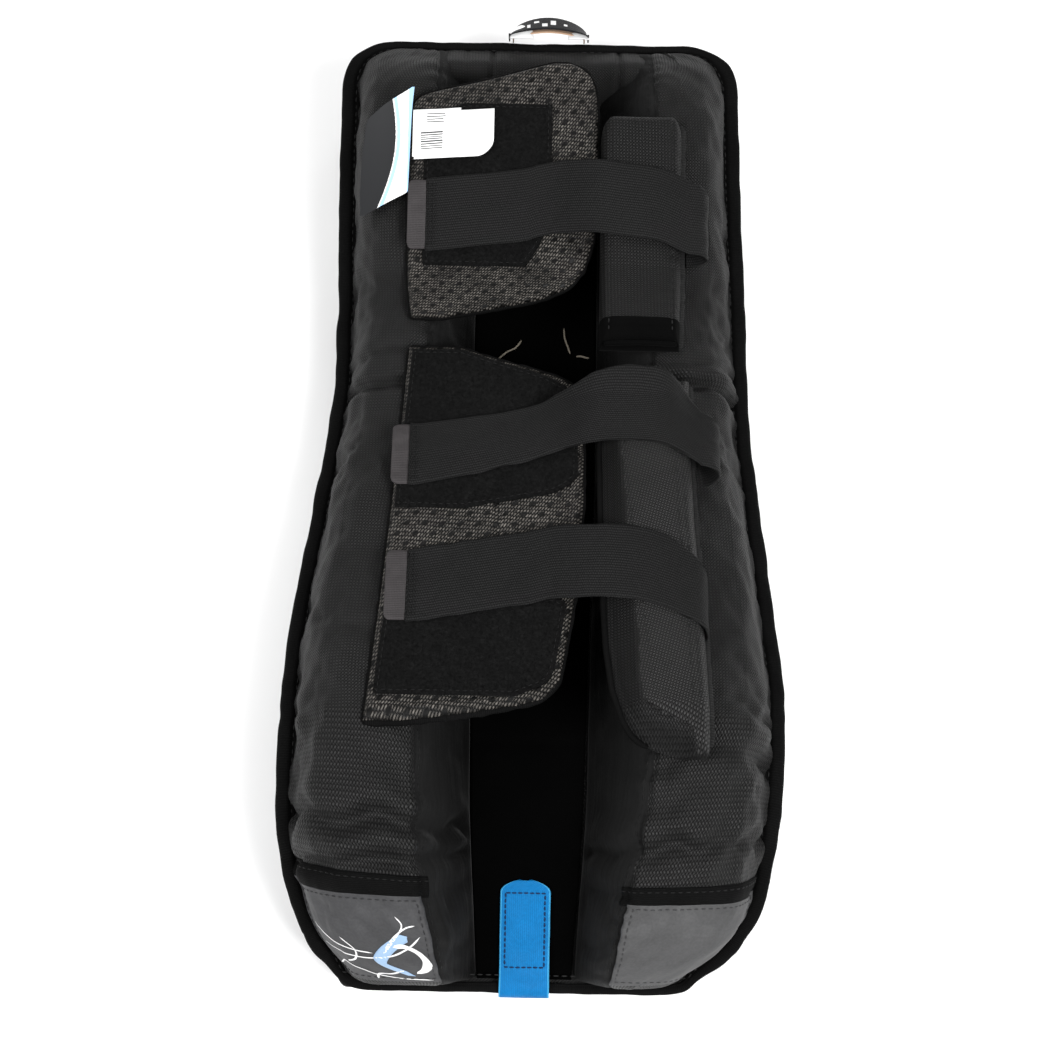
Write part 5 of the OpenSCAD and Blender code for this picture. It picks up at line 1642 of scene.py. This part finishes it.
# ------------------------------------------------------------------ elastic straps
def ribbon(name, path, half, thick, mats, body, blend=None, seed=1, wave=0.25, node=(), round_ends=0.0, cm=None, step=1.0, edge=0.45, taper=None, lift=None, widen=None):
    """Flat band along a path of (x, w, v), half as wide either side along v."""
    C = resample(np.asarray(path, float), int(np.linalg.norm(np.diff(np.asarray(path, float), axis=0), axis=1).sum() / step) + 2)
    n = len(C)
    s = np.concatenate([[0], np.cumsum(np.linalg.norm(np.diff(C, axis=0), axis=1))])
    x, w, v = C.T
    tx, tw = np.gradient(x), np.gradient(w)
    L = np.hypot(tx, tw) + 1e-9
    nx_, nw = -tw / L, tx / L
    if nw[-1] < 0:
        nx_, nw = -nx_, -nw
    h = np.full(n, float(half)) + 0.25 * noise1(s, seed + 5, 18, 50)
    if round_ends:
        rr = round_ends
        c = np.clip((rr - (s[-1] - s)) / rr, 0, 1)
        h = h - rr * (1 - np.sqrt(1 - c ** 2))
    q = np.linspace(-1, 1, 31)
    q = np.sign(q) * (1 - (1 - np.abs(q)) ** 1.25)
    X = np.broadcast_to(x[:, None], (n, len(q)))
    S = np.broadcast_to(s[:, None], X.shape)
    off = q[None] * h[:, None]
    if taper:
        cut = taper[1] * np.clip(1 - s / taper[0], 0, 1) ** 1.6
        off = np.where(off > 0, off * (1 - cut[:, None] / h[:, None]), off)
        off = off - (taper[2] * np.clip(1 - s / taper[0], 0, 1) ** 2)[:, None]
    if widen is not None:      # the bent pad draws lines above it together, a band keeps its width
        off = np.where(off > 0, off * (1 + widen(x)[:, None]), off)
    Vv = v[:, None] + off
    t = wave * noise2(S, off, seed, 12, 40) + 0.35 * wave * noise2(S, off, seed + 1, 5, 10)
    t = t * sstep(s / 6)[:, None]
    th = thick / 2 * np.sqrt(np.clip(1 - (np.abs(q) ** 9), 0.12, 1))[None]
    eb = edge * np.exp(-((np.abs(q) - 0.93) / 0.05) ** 2)[None]
    top = t + th + eb
    bot = t - th
    ring_o = np.concatenate([top, bot[:, ::-1][:, 1:-1] if False else bot[:, ::-1]], 1)
    ring_v = np.concatenate([Vv, Vv[:, ::-1]], 1)
    XX = x[:, None] + nx_[:, None] * ring_o
    WW = w[:, None] + nw[:, None] * ring_o
    if lift is not None:
        WW = WW + (ring_v - v[:, None] + h[:, None]) * lift(x)[:, None]
    G = bend(XX, ring_v, WW)
    fab = np.stack([np.concatenate([S, S[:, ::-1]], 1) / 1000, np.concatenate([np.broadcast_to(off, S.shape), np.broadcast_to(off, S.shape)[:, ::-1]], 1) / 1000, XX * 0], -1)
    ob = loft(name, G, mats, fab, None, caps=True)
    fix_normals(ob)
    if blend:
        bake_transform(ob)
    elif body:
        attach(ob, body)
    if node:
        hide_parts(*node)
    return ob, (C, s, h, nx_, nw, t, th)


def strap_line(R, frac, s0, s1, lift=1.05, m=60):
    C, s, h, nx_, nw, t, th = R
    ss = np.linspace(s0, s1, m)
    f = lambda a: np.interp(ss, s, a)
    o = f(h) * frac
    return bend(f(C[:, 0]) + f(nx_) * lift, f(C[:, 2]) + o, f(C[:, 1]) + f(nw) * lift), None


def arc_pts(cx, cw, r, v, a0=-95, a1=90, m=26):
    a = np.radians(np.linspace(a0, a1, m))
    return np.stack([cx + r * np.cos(a), cw + r * np.sin(a), np.full(m, float(v))], -1)


def build_strap(key, tab_x, tab_v, tab_half, half, pts, fold=None, start=None, parent=ROOT, blend_dir=None, seed=1, taper=None, lift=None, widen=None):
    body = key + "_strap_body"
    if fold:
        A = arc_pts(fold[0], 105.5, 11.0, fold[1])
        B = catmull(np.concatenate([A[-6:-1:2], np.array(pts, float)]), 200)
        B = B[B[:, 0] < A[-1, 0] - 1.0]
        path = np.concatenate([A, B])
    else:
        path = catmull(np.array(pts, float), 200)
    ob, R = ribbon(key + "_strap_elastic", path, half, 2.0, [ELASTIC], None, blend=(parent, body, tuple(blend_dir[0]), tuple(blend_dir[1])), seed=seed, node=(key + "_strap", key + "_strap_anchor"), taper=taper, lift=lift, widen=widen)
    # sewn end of the elastic over the tab, with two rows of stitches across its end
    C, s = R[0], R[1]
    xt = np.linspace(tab_x[1] + 1.0, tab_x[0], 40)
    wt = 104.3 - 0.5 * sstep((xt - tab_x[1] + 6) / 4)
    slope = (pts[-1][2] - pts[-2][2]) / (pts[-1][0] - pts[-2][0])
    vt = tab_v + (xt - tab_x[1]) * slope * 0.0
    tb, RT = ribbon(key + "_strap_grip_tab", np.stack([xt, wt, vt], -1), tab_half, 1.7, [HOOK], body, seed=seed + 20, wave=0.2, node=(key + "_strap_tab",), round_ends=4.0, step=0.7, edge=0.15)
    for j, o in enumerate((1.6, 4.4)):
        vv = np.linspace(-tab_half + 2.5, tab_half - 2.5, 30)
        P = bend(np.full(30, C[-1, 0] + o), C[-1, 2] + vv, np.full(30, C[-1, 1] + 1.1))
        stitches(f"{key}_strap_end_stitch_{j}", P, up_at(C[-1, 2] + vv), TH_BLACK, body, 2.2, 0.9, 0.36)
    # hook strip under the strap
    hook = key + "_strap_hook"
    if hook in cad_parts:
        lo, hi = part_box(hook)
        x0, x1 = lo[0] * 1000 + MX, hi[0] * 1000 + MX
        xs = np.linspace(x1, x0, 30)
        vm = np.interp(-xs, -C[:, 0][C[:, 0] < 20], C[:, 2][C[:, 0] < 20])
        hb, _ = ribbon(hook + "_strip", np.stack([xs, np.full(30, 103.3), vm], -1), half - 3.5, 0.6, [HOOKB], body, seed=seed + 30, wave=0.02, node=(hook,), step=1.2, edge=0)
    return R


HOOKB = m_hook("hook_strip_black", base=(0.012, 0.012, 0.013))
build_strap("knee", (-80, -64.4), 472.4, 22, 23, [[90, 116.7, 471], [73, 116.9, 478], [50, 116.7, 481], [34, 115.5, 483], [14, 108.1, 484], [0, 105.3, 482], [-12, 104.7, 479], [-62, 104.7, 473], [-68.5, 105.6, 472.4]], fold=(92.5, 470), blend_dir=(bend(104, 470, 100), bend(98, 470, 112)), seed=201, taper=(44, 12, 3))
build_strap("upper_calf", (-84, -69.4), 288.8, 23.5, 24.5, [[95, 116.8, 302], [74, 116.9, 314], [52, 116.7, 316], [35, 115.5, 315], [14, 108.1, 311], [-2, 105.3, 306], [-14, 104.7, 303], [-35, 104.7, 297], [-67, 104.7, 289.6], [-73.5, 105.6, 288.8]], fold=(98.5, 299), blend_dir=(bend(110, 299, 100), bend(104, 299, 112)), seed=203, taper=(50, 17, 4), lift=lambda x: 0.36 * sstep((x + 12) / 56) * (1 - sstep((x - 76) / 22)), widen=lambda x: 0.27 * sstep((x - 5) / 55) * (1 - sstep((x - 84) / 24)))
build_strap("lower_calf", (-84, -67.4), 200, 22, 23, [[100.6, 103, 197], [100.3, 107, 197.6], [99.0, 111.6, 198.6], [95.0, 115.2, 200.2], [88.5, 116, 202], [76, 116.3, 207], [62, 116.5, 211], [44, 115.5, 213], [28, 112.1, 214], [12, 106.9, 215], [-2, 105.1, 212], [-15, 104.7, 210], [-65, 104.7, 200.6], [-71.5, 105.6, 200]], parent="calf_wing_body", blend_dir=(bend(91, 202, 116), bend(86, 202, 116)), seed=205, taper=(36, 15, 5))


# ------------------------------------------------------------------ hanging loop, tag, laces
def build_loop():
    """Webbing loop leaning back over the thigh end, with its pale lining and white ends."""
    def at(ang, qq, t, inside=0.0):
        c, sn = np.cos(ang), np.sin(ang)
        X, V = 5 + 25.2 * c, 608.2 + 14.8 * sn
        g = np.hypot(25.2 * sn, 14.8 * c)
        nx_, nv = 14.8 * c / g, 25.2 * sn / g
        lean = (qq - 44.2) * np.clip(sn, 0, 1) ** 0.7
        x = X + nx_ * (t - inside) - nx_ * lean * 0.15
        v = V + nv * (t - inside) - lean * 0.98
        return x, v, qq + 0.25 * np.sin(ang * 5.0) - inside * 1.3

    def strip(nm, a0, a1, q0, q1, t0, t1, mat, inside=0.0, n=60):
        A = np.linspace(a0, a1, n)[:, None]
        q = np.linspace(q0, q1, 11)[None]
        ring = [np.stack(at(A + 0 * q, q + 0 * A, t0, inside), -1), np.stack(at(A + 0 * q, q[:, ::-1] + 0 * A, t1, inside), -1)]
        R = np.concatenate(ring, 1)
        ob = loft(nm, bend(R[..., 0], R[..., 1], R[..., 2]), [mat])
        fix_normals(ob)
        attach(ob, ROOT)
        return ob
    rad = math.radians
    ob = strip("hang_loop_webbing", rad(184), rad(-4), 44.2, 56.4, -0.1, 0.8, BLACKWEB)
    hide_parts("hang_loop")
    ob = strip("hang_loop_lining", rad(184), rad(-4), 43.0, 55.2, -0.9, -0.12, BEIGE, inside=1.6)
    for j, (p, q0, q1) in enumerate(((137, 49.0, 51.2), (121, 50.4, 54.0), (107, 47.8, 49.6), (97, 51.2, 54.2), (82, 48.0, 52.4), (64, 50.2, 52.2))):
        ob = strip(f"hang_loop_mark_{j}", rad(p + (3.4 if j % 2 else 5.6)), rad(p - (2.2 if j % 3 else 4.8)), q0, q1, 0.82, 1.0, WHITE, n=6)
    for j, (xc, hx, top) in enumerate(((-12.6, 7.6, 10.2), (24.4, 7.0, 6.6))):
        t = np.linspace(0, 1, 22)
        q = np.linspace(-1, 1, 21)
        hw = hx * np.sqrt(np.clip(1 - np.clip((t - 0.35) / 0.67, 0, 1) ** 2, 0.01, 1))
        X = xc + q[None] * hw[:, None]
        V = 605.6 + top * t[:, None] + 0 * X
        W = 53.4 - 4.6 * t[:, None] + 1.5 * (1 - q[None] ** 2) + 0 * X
        up = np.concatenate([np.stack([X, V, W + 0.45], -1), np.stack([X, V, W - 0.45], -1)[:, ::-1]], 1)
        ob = loft(f"hang_loop_white_end_{j}", bend(up[..., 0], up[..., 1], up[..., 2]), [WHITE])
        fix_normals(ob)
        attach(ob, ROOT)
    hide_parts("hang_loop_ends")


build_loop()


def build_tag():
    rows = Rows([[472, -109.5, -107], [478, -109.5, -96], [486, -110, -80], [512, -109.5, -79.5], [534, -107, -79], [543, -96, -78.5], [551, -82, -77.8], [553, -79, -77.6]], 0.8)
    n, k = 230, 100
    v = np.linspace(472, 553, n)
    q = np.linspace(0, 1, k)
    l, r = rows.at(v, 0), rows.at(v, 1)
    X = l[:, None] + (r - l)[:, None] * q[None]
    V = np.broadcast_to(v[:, None], X.shape)
    W = 96.3 + 0.26 * (X + 110) + 1.6 * ((v - 511) / 41)[:, None] ** 2 + 1.2 * np.sin((X + 110) / 32 * 3.1)
    P = bend(X, V, W)
    N = np.cross(np.gradient(P, axis=1), np.gradient(P, axis=0))
    N /= np.linalg.norm(N, axis=2)[..., None]
    if N[n // 2, k // 2, 2] < 0:
        N = -N
    xc = (X[:-1, :-1] + X[1:, 1:]) / 2
    vc = (V[:-1, :-1] + V[1:, 1:]) / 2
    bound = -100.5 + 0.10 * (vc - 472) + 7.5 * np.sin((vc - 472) / 81 * np.pi)
    c = np.where(xc < bound, 0, np.where(xc < bound + 0.8, 2, np.where(xc < bound + 3.0, 1, np.where(xc < bound + 4.0, 2, np.where(xc > -80.9, 1, 2)))))
    ob = skin("hang_tag_card", P, N, 0, 0.5, [CARD_DK, CARD_BL, WHITE], c)
    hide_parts("hang_tag")


build_tag()


def build_laces():
    for j, (a, b, sw) in enumerate((((-24, 386), (-9, 402), 2.4), ((18, 412), (22, 392), -2.0), ((26, 390), (34, 389), 0.6))):
        t = np.linspace(0, 1, 26)
        x = a[0] + (b[0] - a[0]) * t + sw * np.sin(t * np.pi) * 0.5
        v = a[1] + (b[1] - a[1]) * t + sw * np.sin(t * 2 * np.pi) * 0.5
        w = deck(v) + 2.6 + 0.8 * np.sin(t * np.pi)
        ob = tube(f"lace_end_{j}", bend(x, v, w), 0.0006, LACE, 8)
        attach(ob, ROOT)
    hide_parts("lace_ends")


build_laces()

# ------------------------------------------------------------------ what is left of the frame: inner foams and boards
for nm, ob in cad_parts.items():
    if ob.hide_render:
        continue
    m = SHEETP if "stiffener" in nm else FOAM
    if any(w in nm for w in ("cover", "piping", "anchor")):
        m = NYLON
    ob.data.materials.clear()
    ob.data.materials.append(m)

# ------------------------------------------------------------------ floor, light, camera
bpy.ops.mesh.primitive_plane_add(size=8, location=(0, 0, 0))
floor = bpy.context.object
floor.name = "floor"
fm = bpy.data.materials.new("floor_paper")
fm.use_nodes = True
fm.node_tree.nodes["Principled BSDF"].inputs["Base Color"].default_value = (0.93, 0.93, 0.93, 1)
fm.node_tree.nodes["Principled BSDF"].inputs["Roughness"].default_value = 0.9
floor.data.materials.append(fm)

world = bpy.data.worlds.new("studio")
bpy.context.scene.world = world
world.use_nodes = True
world.node_tree.nodes["Background"].inputs[0].default_value = (1, 1, 1, 1)
world.node_tree.nodes["Background"].inputs[1].default_value = 0.36


def area(name, loc, at, size, power, sy=None):
    L = bpy.data.lights.new(name, "AREA")
    L.shape = "RECTANGLE"
    L.size = size
    L.size_y = sy or size
    L.energy = power
    o = bpy.data.objects.new(name, L)
    bpy.context.scene.collection.objects.link(o)
    o.location = loc
    d = Vector(at) - Vector(loc)
    o.rotation_euler = d.to_track_quat("-Z", "Y").to_euler()
    return o


area("key", (1.0, -0.85, 1.75), (0, 0, 0.05), 0.9, 53)
area("fill", (-1.4, -0.6, 1.6), (0, 0, 0.05), 1.0, 36)
area("back_light", (0.2, 1.5, 1.7), (0, 0.1, 0.05), 1.1, 13)

cam = bpy.data.cameras.new("camera")
co = bpy.data.objects.new("camera", cam)
bpy.context.scene.collection.objects.link(co)
loc = Vector((-0.0022, -0.42624, 1.2892))
tgt = Vector((-0.0022, -0.003, 0.060))
f = (tgt - loc).normalized()
rt = f.cross(Vector((0, 0, 1))).normalized()
up = rt.cross(f)
ra = math.radians(1.05)
r2 = rt * math.cos(ra) + up * math.sin(ra)
u2 = -rt * math.sin(ra) + up * math.cos(ra)
M = Matrix((r2, u2, -f)).transposed().to_4x4()
M.translation = loc
co.matrix_world = M
cam.sensor_width = 36
cam.lens = 72.8
cam.shift_x = -0.0086
cam.shift_y = -0.0415
cam.clip_start = 0.01
cam.clip_end = 30
bpy.context.scene.camera = co
bpy.context.scene.view_settings.view_transform = "Standard"
